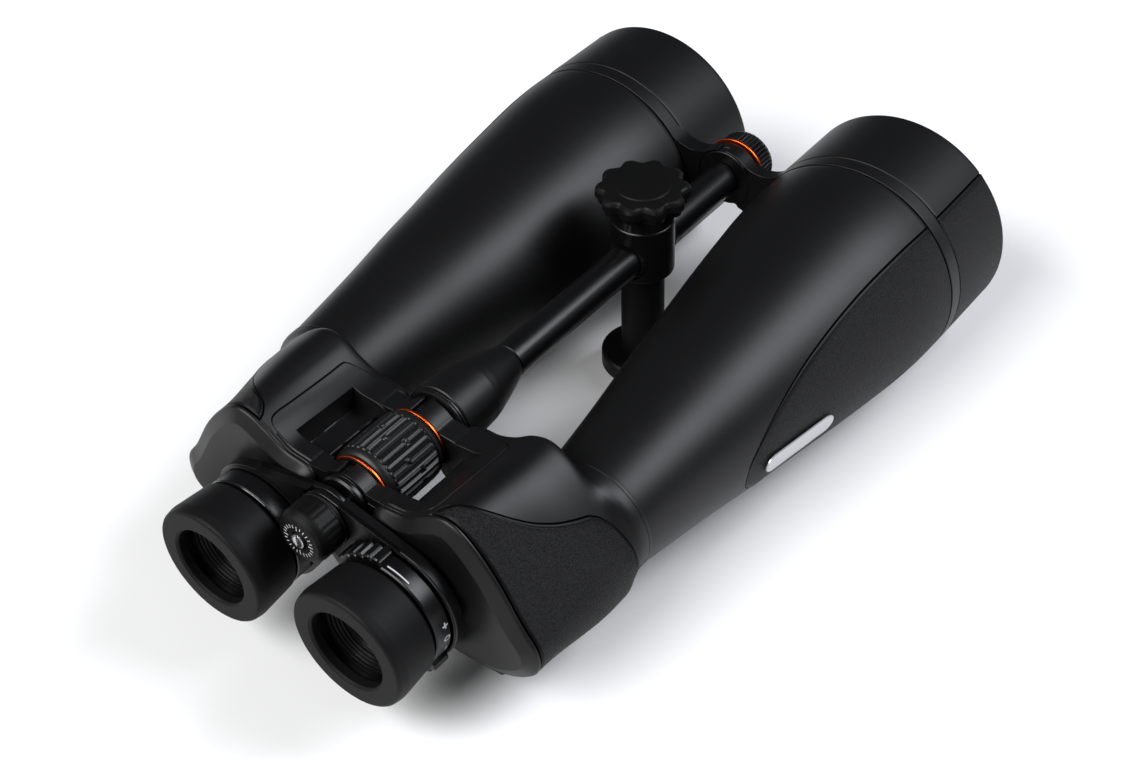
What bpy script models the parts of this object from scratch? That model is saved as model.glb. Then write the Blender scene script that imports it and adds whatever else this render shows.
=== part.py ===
"""Large Porro binoculars with a reinforcing rod and a sliding tripod post.

Frame: metres, +X to the user's right, +Y towards the objectives, +Z up.
Origin: centre of the bounding box at its bottom.
Sizes below are in millimetres. Stations along the length are counted from the eyecup rims.
"""
import math

import bmesh
import bpy
from mathutils import Matrix, Vector

# Driving dimensions, mm
MM = 0.001
LENGTH = 331.0            # eyecup rim to hood rim
HOOD_R = 49.0             # outer radius of the hoods
OBJECTIVE_X = 65.25       # objective axis from the middle
EYE_X = 33.25             # eyepiece axis from the middle
OBJECTIVE_Z = 49.0        # objective axis above the ground
EYE_Z = 47.0              # eyepiece axis above the ground
HINGE_Z = 68.7            # fold, rod and focus axis above the ground
GAP = 0.3                 # clearance between touching pieces
ROD_R = 7.5
SHAFT_R = 5.2
SHAFT_BORE = 5.6
SPINDLE_R = 3.0
WHEEL_Y = (49.6, 78.4)
WHEEL_R = 15.1
RING_R = 13.7             # coloured rings at the wheel's ends
BAY_R = 20.8              # open space round the wheel
POCKET_X = 31.2           # outer wall of the finger pocket beside the wheel
POCKET_Y = (49.5, 79.9)
POCKET_FLOOR = 68.5
WALL = 2.6                # housing wall
SEAM_Y = 100.5            # prism housing meets barrel
NECK_R = 25.4             # housing neck round the barrel's end
POST_Y = 223.8            # tripod post station on the rod
FINE = 28                 # segments of large turned pieces
MIDDLE = 24               # segments of the eyepieces
COARSE = 18               # segments of small turned pieces

HINGE = (0.0, HINGE_Z)
CENTRE_SHIFT = LENGTH / 2.0


def clear_scene():
    for obj in list(bpy.data.objects):
        bpy.data.objects.remove(obj, do_unlink=True)


# Materials --------------------------------------------------------------------

def material(name, colour, roughness, metallic=0.0):
    mat = bpy.data.materials.new(name)
    mat.use_nodes = True
    shader = mat.node_tree.nodes["Principled BSDF"]
    shader.inputs["Base Color"].default_value = (*colour, 1.0)
    shader.inputs["Roughness"].default_value = roughness
    shader.inputs["Metallic"].default_value = metallic
    return mat


def make_materials():
    return {
        "shell": material("black_shell", (0.035, 0.035, 0.037), 0.42),
        "rubber": material("textured_rubber", (0.045, 0.045, 0.047), 0.72),
        "eyecup": material("eyecup_rubber", (0.055, 0.055, 0.058), 0.62),
        "metal": material("black_anodised", (0.02, 0.02, 0.022), 0.32, 0.6),
        "orange": material("orange_anodised", (0.85, 0.26, 0.05), 0.3, 0.9),
        "silver": material("brushed_silver", (0.7, 0.7, 0.7), 0.3, 1.0),
        "steel": material("steel", (0.5, 0.5, 0.5), 0.3, 1.0),
        "glass": material("coated_glass", (0.12, 0.07, 0.12), 0.05),
        "brass": material("brass", (0.6, 0.45, 0.2), 0.35, 1.0),
    }


# Placement --------------------------------------------------------------------

def world(x, station, z):
    """A place in metres from x and z in mm and a station counted from the eyecup rims."""
    return Vector((x * MM, (station - CENTRE_SHIFT) * MM, z * MM))


def axis_empty(name, x, station, z):
    empty = bpy.data.objects.new(name, None)
    bpy.context.collection.objects.link(empty)
    empty.location = world(x, station, z)
    return empty


def finish(name, bm, mat, place, parent):
    """Turn a bmesh in mm about its own origin into a named object at place (x, station, z)."""
    bmesh.ops.remove_doubles(bm, verts=bm.verts, dist=0.001)
    bmesh.ops.recalc_face_normals(bm, faces=bm.faces)
    bmesh.ops.scale(bm, vec=(MM, MM, MM), verts=bm.verts)
    mesh = bpy.data.meshes.new(name)
    bm.to_mesh(mesh)
    bm.free()
    mesh.materials.append(mat)
    mesh.shade_smooth()
    mesh.set_sharp_from_angle(angle=math.radians(32.0))
    obj = bpy.data.objects.new(name, mesh)
    bpy.context.collection.objects.link(obj)
    obj.location = world(*place)
    if parent is not None:
        obj.parent = parent
        obj.location = world(*place) - parent.location
    return obj


# Shape builders ---------------------------------------------------------------

def spin_profile(profile, segments, closed):
    """Spin (station, radius) points about the Y axis of a new bmesh."""
    bm = bmesh.new()
    verts = [bm.verts.new((r, y, 0.0)) for y, r in profile]
    edges = [bm.edges.new(pair) for pair in zip(verts, verts[1:])]
    if closed:
        edges.append(bm.edges.new((verts[-1], verts[0])))
    bmesh.ops.spin(bm, geom=verts + edges, cent=(0, 0, 0), axis=(0, 1, 0),
                   angle=2 * math.pi, steps=segments, use_merge=True)
    bmesh.ops.remove_doubles(bm, verts=bm.verts, dist=0.001)
    return bm


def tube(name, profile, axis, mat, parent=None, segments=FINE, shape=None):
    """A turned piece with a bore: the profile is a closed loop of (station, radius)."""
    bm = spin_profile(profile, segments, True)
    return turned(name, bm, axis, mat, parent, shape)


def solid(name, profile, axis, mat, parent=None, segments=FINE, shape=None):
    """A turned piece without a bore: the profile starts and ends on the axis."""
    bm = spin_profile(profile, segments, False)
    return turned(name, bm, axis, mat, parent, shape)


def turned(name, bm, axis, mat, parent, shape):
    if shape is not None:
        shape(bm)
    return finish(name, bm, mat, (axis[0], 0.0, axis[1]), parent)


def smooth_loop(points, steps):
    """Closed Catmull-Rom curve through the points, with steps points for each span."""
    count = len(points)
    loop = []
    for i in range(count):
        p0, p1, p2, p3 = (Vector(points[(i + k - 1) % count]) for k in range(4))
        for step in range(steps):
            t = step / steps
            loop.append(0.5 * (2 * p1 + (p2 - p0) * t + (2 * p0 - 5 * p1 + 4 * p2 - p3) * t ** 2
                               + (3 * p1 - p0 - 3 * p2 + p3) * t ** 3))
    return loop


def offset_loop(loop, distance):
    """Move each point of a clockwise (x, z) loop outwards along its normal."""
    count = len(loop)
    moved = []
    for i, point in enumerate(loop):
        along = (loop[(i + 1) % count] - loop[i - 1]).normalized()
        moved.append(point + Vector((-along.y, along.x)) * distance)
    return moved


def mirror_x(loop, side):
    return [Vector((p.x * side, p.y)) for p in loop]


def loft_bmesh(sections):
    """Join (station, loop) sections of equal point count into one capped solid."""
    bm = bmesh.new()
    rings = [[bm.verts.new((p.x, station, p.y)) for p in loop] for station, loop in sections]
    count = len(rings[0])
    for ring, following in zip(rings, rings[1:]):
        for i in range(count):
            k = (i + 1) % count
            bm.faces.new((ring[i], ring[k], following[k], following[i]))
    bm.faces.new(rings[0])
    bm.faces.new(rings[-1])
    return bm


def circle_loop(centre, radius, count, start=0.0, sweep=360.0):
    """Points clockwise round a circle, as (x, z)."""
    full = sweep == 360.0
    spans = count if full else count - 1
    angles = [math.radians(start - sweep * i / spans) for i in range(count)]
    return [Vector((centre[0] + radius * math.cos(a), centre[1] + radius * math.sin(a))) for a in angles]


def cutter(bm, name="cutter"):
    """A temporary object for one Boolean, in world space."""
    obj = finish(name, bm, bpy.data.materials["black_shell"], (0.0, 0.0, 0.0), None)
    obj.hide_render = True
    obj.display_type = "WIRE"
    return obj


def combine(obj, other, operation):
    """Apply an exact Boolean with other to obj, then delete other."""
    modifier = obj.modifiers.new(operation.lower(), "BOOLEAN")
    modifier.object = other
    modifier.operation = operation
    modifier.solver = "EXACT"
    bpy.context.view_layer.update()
    evaluated = obj.evaluated_get(bpy.context.evaluated_depsgraph_get())
    result = bpy.data.meshes.new_from_object(evaluated)
    obj.modifiers.clear()
    obj.data = result
    result.set_sharp_from_angle(angle=math.radians(32.0))
    bpy.data.objects.remove(other, do_unlink=True)


def drum(axis, radius, start, end, segments=COARSE):
    """A cutter or an add-on: a plain cylinder along Y."""
    loop = circle_loop(axis, radius, segments)
    return cutter(loft_bmesh([(start, loop), (end, loop)]))


def upright_drum(x, station, radius, bottom, top, segments=COARSE):
    bm = bmesh.new()
    bmesh.ops.create_cone(bm, cap_ends=True, segments=segments, radius1=radius, radius2=radius,
                          depth=top - bottom,
                          matrix=Matrix.Translation((x, station, (top + bottom) / 2)))
    return cutter(bm)


def block(x_range, y_range, z_range):
    bm = bmesh.new()
    bmesh.ops.create_cube(bm, size=1.0)
    size = [r[1] - r[0] for r in (x_range, y_range, z_range)]
    middle = [(r[1] + r[0]) / 2 for r in (x_range, y_range, z_range)]
    bmesh.ops.scale(bm, vec=size, verts=bm.verts)
    bmesh.ops.translate(bm, vec=middle, verts=bm.verts)
    return cutter(bm)


# Outlines of the prism housing, right side, (x, z) clockwise from the hub ------

COVER_OUTLINE = ((15.0, 68.0), (19.5, 73.5), (28.0, 77.5), (37.0, 83.0), (45.0, 87.0), (52.0, 87.0),
                 (60.0, 81.5), (70.0, 69.5), (79.5, 53.5), (86.0, 44.0), (86.0, 34.5), (80.0, 27.5),
                 (70.0, 22.5), (57.0, 20.5), (44.0, 20.5), (30.0, 21.5), (19.0, 26.5), (12.5, 37.0),
                 (12.0, 50.0), (13.5, 60.0))
FRONT_OUTLINE = ((15.5, 66.5), (19.5, 71.5), (28.0, 76.0), (37.0, 81.0), (45.5, 86.5), (54.0, 88.0),
                 (63.5, 83.0), (74.0, 72.5), (84.0, 58.5), (90.0, 47.5), (90.0, 35.0), (84.0, 25.5),
                 (73.0, 18.5), (58.0, 16.0), (44.0, 16.5), (30.0, 18.5), (19.0, 25.0), (12.5, 36.0),
                 (12.0, 49.0), (13.5, 59.0))
HOUSING_Y = (41.0, 94.0)


def housing_loop(station, side):
    """The housing's outline at a station, blended from the cover outline to the front one."""
    share = min(max((station - HOUSING_Y[0]) / 40.0, 0.0), 1.0)
    points = [Vector(a).lerp(Vector(b), share) for a, b in zip(COVER_OUTLINE, FRONT_OUTLINE)]
    return mirror_x(smooth_loop(points, 2), side)


def clockwise(side):
    """Offsets point outwards on the right half and are turned round on the mirrored left half."""
    return 1.0 if side > 0 else -1.0


def yoke_web(side, start, end):
    """The flat-topped web that joins a housing to the space round its hinge knuckles."""
    outline = ((9.0, 76.3), (25.0, 76.3), (31.0, 77.6), (31.0, 60.0), (13.5, 52.0), (9.0, 60.0))
    corners = [Vector(p) for p in outline]
    loop = mirror_x(corners, side)
    return cutter(loft_bmesh([(start, loop), (end, loop)]))


def arm_plate(side, start, end, radius, root_top, root_bottom):
    """A hinge arm: a knuckle round the fold axis that runs out to two points inside its own half."""
    knuckle = circle_loop(HINGE, radius, 17, 80.0, -200.0)
    outline = [Vector(root_top)] + knuckle + [Vector(root_bottom)]
    loop = mirror_x(outline, side)
    return cutter(loft_bmesh([(start, loop), (end, loop)]))


# Halves -----------------------------------------------------------------------

# Stations of each half's rear, middle and front knuckle
KNUCKLE_SLOTS = {
    1: ((41.0, 44.2), (80.2, 83.6), (285.2, 289.2)),
    -1: ((44.6, 47.8), (84.0, 87.4), (289.6, 293.6)),
}


def make_housing(name, side, mats, parent):
    """Prism housing: an open-backed shell with the objective neck in front and two hinge knuckles."""
    inner = -WALL * clockwise(side)
    nose = -5.0 * clockwise(side)
    sections = [(s, housing_loop(s, side)) for s in (41.0, 81.0, 90.0)]
    sections.append((92.8, offset_loop(housing_loop(92.8, side), nose * 0.3)))
    sections.append((94.0, offset_loop(housing_loop(94.0, side), nose)))
    housing = finish(name, loft_bmesh(sections), mats["shell"], (0.0, 0.0, 0.0), parent)
    objective = (side * OBJECTIVE_X, OBJECTIVE_Z)
    neck_sizes = ((84.6, 20.0), (92.0, NECK_R), (SEAM_Y, NECK_R))
    neck = [(s, circle_loop(objective, r, FINE)) for s, r in neck_sizes]
    combine(housing, cutter(loft_bmesh(neck)), "UNION")
    for start, end in ((41.0, 49.3), (80.2, 90.0)):
        web = yoke_web(side, start, end)
        combine(web, drum(HINGE, 13.3, 30.0, 95.0, FINE), "DIFFERENCE")
        combine(housing, web, "UNION")
    rear, front, _ = KNUCKLE_SLOTS[side]
    combine(housing, arm_plate(side, rear[0], rear[1], 12.8, (24.0, 73.0), (18.0, 50.0)), "UNION")
    combine(housing, arm_plate(side, front[0], front[1], 12.8, (24.0, 72.0), (18.0, 50.0)), "UNION")
    hollow = [(s, offset_loop(housing_loop(s, side), inner)) for s in (38.0, 81.0, 90.0)]
    cavity = cutter(loft_bmesh(hollow))
    combine(cavity, drum(HINGE, BAY_R + 1.8, 30.0, 95.0), "DIFFERENCE")
    combine(cavity, pocket_cutter(side, WALL), "DIFFERENCE")
    combine(housing, cavity, "DIFFERENCE")
    combine(housing, drum(objective, 22.4, 85.0, 110.0, FINE), "DIFFERENCE")
    combine(housing, drum(HINGE, BAY_R, POCKET_Y[0] - 0.1, POCKET_Y[1]), "DIFFERENCE")
    combine(housing, drum(HINGE, RING_R + 0.7, 47.9, POCKET_Y[0]), "DIFFERENCE")
    combine(housing, drum(HINGE, 14.9, 87.6, 95.0), "DIFFERENCE")
    combine(housing, pocket_cutter(side, 0.0), "DIFFERENCE")
    combine(housing, drum(HINGE, SHAFT_BORE, 30.0, 110.0), "DIFFERENCE")
    return housing


def pocket_cutter(side, margin):
    """The finger pocket beside the wheel, grown by a margin on every side."""
    x_range = sorted((side * 8.0, side * (POCKET_X + margin)))
    y_range = (POCKET_Y[0] - margin, POCKET_Y[1] + margin)
    return block(x_range, y_range, (POCKET_FLOOR - margin, 95.0))


def make_cover(name, side, mats, parent):
    """Rear cover plate with a chamfered rim and the hole for the ocular tube."""
    loop = housing_loop(41.0, side)
    chamfered = offset_loop(loop, -2.2 * clockwise(side))
    sections = [(36.6, chamfered), (38.2, loop), (40.7, loop)]
    cover = finish(name, loft_bmesh(sections), mats["shell"], (0.0, 0.0, 0.0), parent)
    combine(cover, drum((side * EYE_X, EYE_Z), 17.7, 30.0, 50.0), "DIFFERENCE")
    combine(cover, drum(HINGE, 13.6, 30.0, 50.0), "DIFFERENCE")
    return cover


def diagonal(u, v, side):
    """From the prisms' diagonal directions to (x, z): u runs down and outwards, v up and outwards."""
    root_half = math.sqrt(0.5)
    return Vector((side * (u + v) * root_half, OBJECTIVE_Z + (v - u) * root_half))


def make_prism(name, side, u_range, v_range, base, tip, along_u, mats, parent):
    """A Porro prism: a roof on a rectangle, with its apex cut flat."""
    depth = abs(tip - base)
    shrink_u = depth if along_u else 0.0
    shrink_v = 0.0 if along_u else depth

    def rectangle(du, dv):
        corners = ((u_range[0] + du, v_range[0] + dv), (u_range[0] + du, v_range[1] - dv),
                   (u_range[1] - du, v_range[1] - dv), (u_range[1] - du, v_range[0] + dv))
        return [diagonal(u, v, side) for u, v in corners]

    sections = [(base, rectangle(0.0, 0.0)), (tip, rectangle(shrink_u, shrink_v))]
    return finish(name, loft_bmesh(sections), mats["glass"], (0.0, 0.0, 0.0), parent)


BARREL_PROFILE = ((100.8, 25.0), (140.0, 30.6), (165.0, 34.8), (190.0, 38.4), (215.0, 42.2), (240.0, 45.6),
                  (262.0, 48.3), (275.0, 48.9), (284.3, 48.9))


def barrel_radius(station):
    """The barrel's outer radius at a station, by straight lines between its profile's points."""
    for (y0, r0), (y1, r1) in zip(BARREL_PROFILE, BARREL_PROFILE[1:]):
        if station <= y1:
            return r0 + (r1 - r0) * (station - y0) / (y1 - y0)
    return BARREL_PROFILE[-1][1]


def make_barrel(name, axis, mats, parent):
    """Objective barrel: a conical tube with a spigot at each end."""
    outer = [(92.0, 22.0), (100.8, 22.0)] + list(BARREL_PROFILE) + [(284.3, 46.0), (314.0, 46.0)]
    inner = [(314.0, 43.0), (262.0, 43.0), (190.0, 35.4), (92.0, 20.0)]
    return tube(name, outer + inner, axis, mats["shell"], parent)


def make_bridge_band(name, side, mats, parent):
    """Front bridge: a band round the barrel's end with the arm and the knuckle of the fold hinge."""
    axis = (side * OBJECTIVE_X, OBJECTIVE_Z)
    profile = [(284.9, 46.4), (284.9, 49.0), (291.5, 49.0), (291.5, 46.4)]
    band = tube(name, profile, axis, mats["shell"], parent)
    slot = KNUCKLE_SLOTS[side][2]
    arm = arm_plate(side, slot[0], slot[1], 13.0, (22.5, 70.5), (17.6, 50.0))
    combine(arm, drum(axis, 47.6, 270.0, 300.0, FINE), "DIFFERENCE")
    if side < 0:
        corners = [Vector(p) for p in ((13.8, 61.0), (13.8, 72.5), (22.5, 70.5), (17.6, 50.0))]
        web = cutter(loft_bmesh([(s, mirror_x(corners, side)) for s in (285.2, 291.3)]))
        combine(web, drum(axis, 47.6, 270.0, 300.0, FINE), "DIFFERENCE")
        combine(web, drum(HINGE, 13.8, 270.0, 300.0, FINE), "DIFFERENCE")
        combine(arm, web, "UNION")
        combine(arm, drum(axis, 49.3, 291.4, 300.0, FINE), "DIFFERENCE")
    combine(band, arm, "UNION")
    combine(band, drum(HINGE, SHAFT_BORE, 270.0, 300.0), "DIFFERENCE")
    return band


def surface_strip(name, surface, s_range, t_count, mats_key, mats, parent):
    """A thin closed skin between two offsets of a surface(s, t, lift) with t from 0 to 1."""
    bm = bmesh.new()
    grids = []
    shares = [t / (t_count - 1) for t in range(t_count)]
    for lift in (0, 1):
        grids.append([[bm.verts.new(surface(s, share, lift)) for share in shares] for s in s_range])
    rows = len(s_range)
    for grid in grids:
        for i in range(rows - 1):
            for k in range(t_count - 1):
                bm.faces.new((grid[i][k], grid[i][k + 1], grid[i + 1][k + 1], grid[i + 1][k]))
    border = [(i, 0) for i in range(rows)] + [(rows - 1, k) for k in range(1, t_count)]
    border += [(i, t_count - 1) for i in range(rows - 2, -1, -1)]
    border += [(0, k) for k in range(t_count - 2, 0, -1)]
    for (i, k), (m, n) in zip(border, border[1:] + border[:1]):
        bm.faces.new((grids[0][i][k], grids[0][m][n], grids[1][m][n], grids[1][i][k]))
    return finish(name, bm, mats[mats_key], (0.0, 0.0, 0.0), parent)


def make_barrel_grip(name, side, mats, parent):
    """Rubber panel on the barrel's outer side, pointed towards the eyepieces."""
    stations = (155.0, 165.0, 178.0, 190.0, 215.0, 240.0, 262.0, 275.0, 283.8)
    half_angles = (9.0, 26.0, 36.0, 43.0, 50.5, 53.5, 55.0, 55.0, 54.5)
    widths = dict(zip(stations, half_angles))

    def surface(station, t, lift):
        angle = math.radians(-8.0 + widths[station] * (1.0 - 2.0 * t))
        radius = barrel_radius(station) + 0.4 + 0.8 * lift
        x = side * (OBJECTIVE_X + radius * math.cos(angle))
        return (x, station, OBJECTIVE_Z + radius * math.sin(angle))

    return surface_strip(name, surface, stations, 13, "rubber", mats, parent)


def make_housing_grip(name, side, mats, parent):
    """Rubber panel wrapped round the housing's outer side."""
    stations = (45.0, 81.0, 84.0)
    first, last = 11, 31

    def surface(station, t, lift):
        loop = offset_loop(housing_loop(station, side), (GAP + 0.9 * lift) * clockwise(side))
        point = loop[first + round(t * (last - first))]
        return (point.x, station, point.y)

    return surface_strip(name, surface, stations, last - first + 1, "rubber", mats, parent)


def make_badge(name, side, mats, parent):
    """Narrow metal plate with round ends that lies on the barrel grip."""
    middle, half_length, half_width = 183.8, 19.8, 4.5
    offsets = (-19.7, -18.9, -17.3, -15.3, 0.0, 15.3, 17.3, 18.9, 19.7)
    stations = [middle + offset for offset in offsets]

    def surface(station, t, lift):
        radius = barrel_radius(station) + 1.5 + 0.8 * lift
        past = max(abs(station - middle) - (half_length - half_width), 0.0)
        reach = math.sqrt(half_width ** 2 - past ** 2)
        angle = math.radians(-8.7) + (1.0 - 2.0 * t) * reach / radius
        x = side * (OBJECTIVE_X + radius * math.cos(angle))
        return (x, station, OBJECTIVE_Z + radius * math.sin(angle))

    return surface_strip(name, surface, stations, 5, "silver", mats, parent)


def make_strap_lug(name, side, mats, parent):
    """Strap lug under the housing's outer corner: a thin plate with a slot for the strap."""
    corners = ((52.0, 25.0), (74.0, 27.0), (70.5, 20.6), (66.8, 17.0), (57.5, 16.6), (53.5, 19.3))
    outline = [Vector(p) for p in corners]
    loop = mirror_x(outline, side)
    lug = finish(name, loft_bmesh([(42.2, loop), (44.7, loop)]), mats["shell"], (0.0, 0.0, 0.0), parent)
    keep_out = offset_loop(housing_loop(44.7, side), 1.2 * GAP * clockwise(side))
    combine(lug, cutter(loft_bmesh([(35.0, keep_out), (50.0, keep_out)])), "DIFFERENCE")
    slot = sorted((side * 58.0, side * 66.0))
    combine(lug, block(slot, (35.0, 50.0), (18.0, 19.7)), "DIFFERENCE")
    return lug


def make_objective(axis, prefix, mats, parent):
    """Hood, cell, lens and retaining ring at the front of one barrel."""
    tube(prefix + "hood", [(291.8, 46.4), (291.8, HOOD_R), (330.2, HOOD_R), (LENGTH, 48.2), (LENGTH, 47.0),
                           (330.4, 46.4)], axis, mats["shell"], parent)
    tube(prefix + "objective_cell", [(292.2, 40.4), (292.2, 42.7), (312.0, 42.7), (312.0, 40.4)], axis,
         mats["metal"], parent)
    lens = [(294.5, 0.0), (295.3, 20.0), (296.8, 40.0), (303.6, 40.0), (306.4, 20.0), (307.4, 0.0)]
    solid(prefix + "objective_lens", lens, axis, mats["glass"], parent)
    tube(prefix + "retaining_ring", [(304.4, 38.4), (304.4, 40.0), (307.4, 40.0), (307.4, 38.4)], axis,
         mats["metal"], parent)


def make_half(side, mats):
    prefix = "right_" if side > 0 else "left_"
    empty = axis_empty(prefix + "half_axis", 0.0, 0.0, HINGE_Z)
    axis = (side * OBJECTIVE_X, OBJECTIVE_Z)
    make_housing(prefix + "prism_housing", side, mats, empty)
    make_cover(prefix + "rear_cover", side, mats, empty)
    make_prism(prefix + "rear_prism", side, (38.0, 54.0), (17.0, 55.0), 66.7, 51.0, False, mats, empty)
    make_prism(prefix + "front_prism", side, (17.0, 53.0), (15.0, 31.0), 67.3, 83.0, True, mats, empty)
    make_housing_grip(prefix + "housing_grip", side, mats, empty)
    make_strap_lug(prefix + "strap_lug", side, mats, empty)
    make_barrel(prefix + "barrel", axis, mats, empty)
    make_barrel_grip(prefix + "barrel_grip", side, mats, empty)
    make_bridge_band(prefix + "front_bridge", side, mats, empty)
    make_objective(axis, prefix, mats, empty)
    if side > 0:
        make_badge(prefix + "badge", side, mats, empty)


# Eyepieces --------------------------------------------------------------------

ARM_Y = (29.5, 34.8)
ARM_SLOTS = {1: (29.5, 32.0), -1: (32.3, 34.8)}


def make_eyepiece_arm(name, side, mats, parent):
    """Arm from the focus spindle to the eyepiece: a ring round the ocular and a hub knuckle."""
    axis = (side * EYE_X, EYE_Z)
    profile = [(ARM_Y[0], 19.1), (ARM_Y[0], 25.2), (ARM_Y[1], 25.2), (ARM_Y[1], 19.1)]
    arm = tube(name, profile, axis, mats["metal"], parent)
    start, end = ARM_SLOTS[side]
    hub = circle_loop(HINGE, 11.4, 17, 110.0, -200.0)
    outline = [Vector((42.0, 69.0))] + hub + [Vector((14.5, 38.0)), Vector((30.0, 47.0))]
    loop = mirror_x(outline, side)
    web = cutter(loft_bmesh([(start, loop), (end, loop)]))
    combine(web, drum(axis, 22.0, 20.0, 50.0), "DIFFERENCE")
    combine(arm, web, "UNION")
    combine(arm, drum(HINGE, SPINDLE_R + 1.4, 20.0, 50.0), "DIFFERENCE")
    return arm


def two_pads(bm):
    """Swell a turned ring outwards over two opposite thumb pads."""
    for vert in bm.verts:
        radius = math.hypot(vert.co.x, vert.co.z)
        if radius < 22.0:
            continue
        angle = math.degrees(math.atan2(vert.co.z, vert.co.x))
        for middle in (118.0, -62.0):
            if abs((angle - middle + 180.0) % 360.0 - 180.0) < 31.0:
                vert.co.x *= 26.6 / radius
                vert.co.z *= 26.6 / radius


def make_eyepiece(side, mats):
    prefix = "right_" if side > 0 else "left_"
    axis = (side * EYE_X, EYE_Z)
    arm_axis = axis_empty(prefix + "arm_axis", 0.0, 34.0, HINGE_Z)
    make_eyepiece_arm(prefix + "eyepiece_arm", side, mats, arm_axis)
    eye_axis = axis_empty(prefix + "eye_axis", axis[0], 0.0, axis[1])
    ocular = [(8.0, 16.2), (8.0, 18.7), (34.2, 18.7), (34.2, 17.2), (46.0, 17.2), (46.0, 15.0),
              (20.5, 15.0), (20.5, 12.4), (13.2, 12.4)]
    tube(prefix + "ocular_tube", ocular, axis, mats["metal"], eye_axis, MIDDLE)
    eye_lens = [(13.6, 0.0), (14.6, 8.0), (15.6, 12.0), (18.6, 12.0), (20.2, 0.0)]
    solid(prefix + "eye_lens", eye_lens, axis, mats["glass"], eye_axis, COARSE)
    field_lens = [(33.5, 0.0), (35.0, 9.0), (36.6, 14.6), (40.0, 14.6), (41.0, 9.0), (42.0, 0.0)]
    solid(prefix + "field_lens", field_lens, axis, mats["glass"], eye_axis, COARSE)
    tube(prefix + "twist_sleeve", [(5.0, 19.1), (5.0, 20.8), (20.2, 20.8), (20.2, 19.1)], axis,
         mats["metal"], eye_axis, MIDDLE)
    cup = [(0.0, 17.0), (0.0, 24.0), (2.0, 25.5), (20.2, 24.0), (20.2, 21.2), (4.4, 21.2), (4.4, 16.3),
           (1.0, 16.3)]
    tube(prefix + "eyecup", cup, axis, mats["eyecup"], eye_axis, MIDDLE)
    ring = [(21.6, 19.1), (21.6, 23.6), (29.2, 23.6), (29.2, 19.1)]
    if side > 0:
        tube(prefix + "dioptre_ring", ring, axis, mats["metal"], eye_axis, 36, two_pads)
    else:
        tube(prefix + "ocular_collar", ring, axis, mats["metal"], eye_axis, MIDDLE)


# Centre -----------------------------------------------------------------------

def wheel_flutes(bm):
    """Sink every other strip of the wheel's crown, as finger flutes."""
    count = 16
    for vert in bm.verts:
        radius = math.hypot(vert.co.x, vert.co.z)
        if radius < 14.5:
            continue
        angle = math.atan2(vert.co.z, vert.co.x)
        if math.cos(count * angle) < -0.2:
            vert.co.x *= (radius - 0.7) / radius
            vert.co.z *= (radius - 0.7) / radius


def cap_ribs(bm):
    """Fine ribs round the front cap."""
    for vert in bm.verts:
        radius = math.hypot(vert.co.x, vert.co.z)
        if radius < 12.5:
            continue
        if math.cos(16 * math.atan2(vert.co.z, vert.co.x)) < -0.2:
            vert.co.x *= (radius - 0.6) / radius
            vert.co.z *= (radius - 0.6) / radius


def make_centre(mats):
    """Hinge shaft, cone sleeve, hub spacer and front cap: the fixed spine of the binoculars."""
    shaft = [(82.0, 0.0), (82.0, 3.4), (38.5, 3.4), (38.5, 11.0), (40.7, 11.0), (40.7, SHAFT_R),
             (133.3, SHAFT_R), (133.3, ROD_R), (284.7, ROD_R), (284.7, SHAFT_R), (300.0, SHAFT_R),
             (300.0, 0.0)]
    solid("hinge_rod", shaft, HINGE, mats["metal"], None, COARSE)
    spacer = [(87.8, SHAFT_BORE), (87.8, 13.4), (90.2, 14.4), (92.6, 14.4), (92.6, SHAFT_BORE)]
    tube("hub_spacer", spacer, HINGE, mats["metal"], None, COARSE)
    cone = [(93.0, SHAFT_BORE), (93.0, 14.7), (104.0, 14.2), (112.0, 13.2), (119.0, 11.6), (127.0, 9.6),
            (133.0, 8.4), (133.0, SHAFT_BORE)]
    tube("cone_sleeve", cone, HINGE, mats["shell"], None, COARSE)
    tube("front_ring", [(294.0, SHAFT_BORE), (294.0, 14.3), (295.6, 14.3), (295.6, SHAFT_BORE)], HINGE,
         mats["orange"], None, COARSE)
    cap = [(300.4, 0.0), (300.4, SHAFT_BORE), (296.0, SHAFT_BORE), (296.0, 13.0), (304.0, 13.0),
           (306.0, 11.4), (306.0, 0.0)]
    solid("front_cap", cap, HINGE, mats["metal"], None, 32, cap_ribs)


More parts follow.
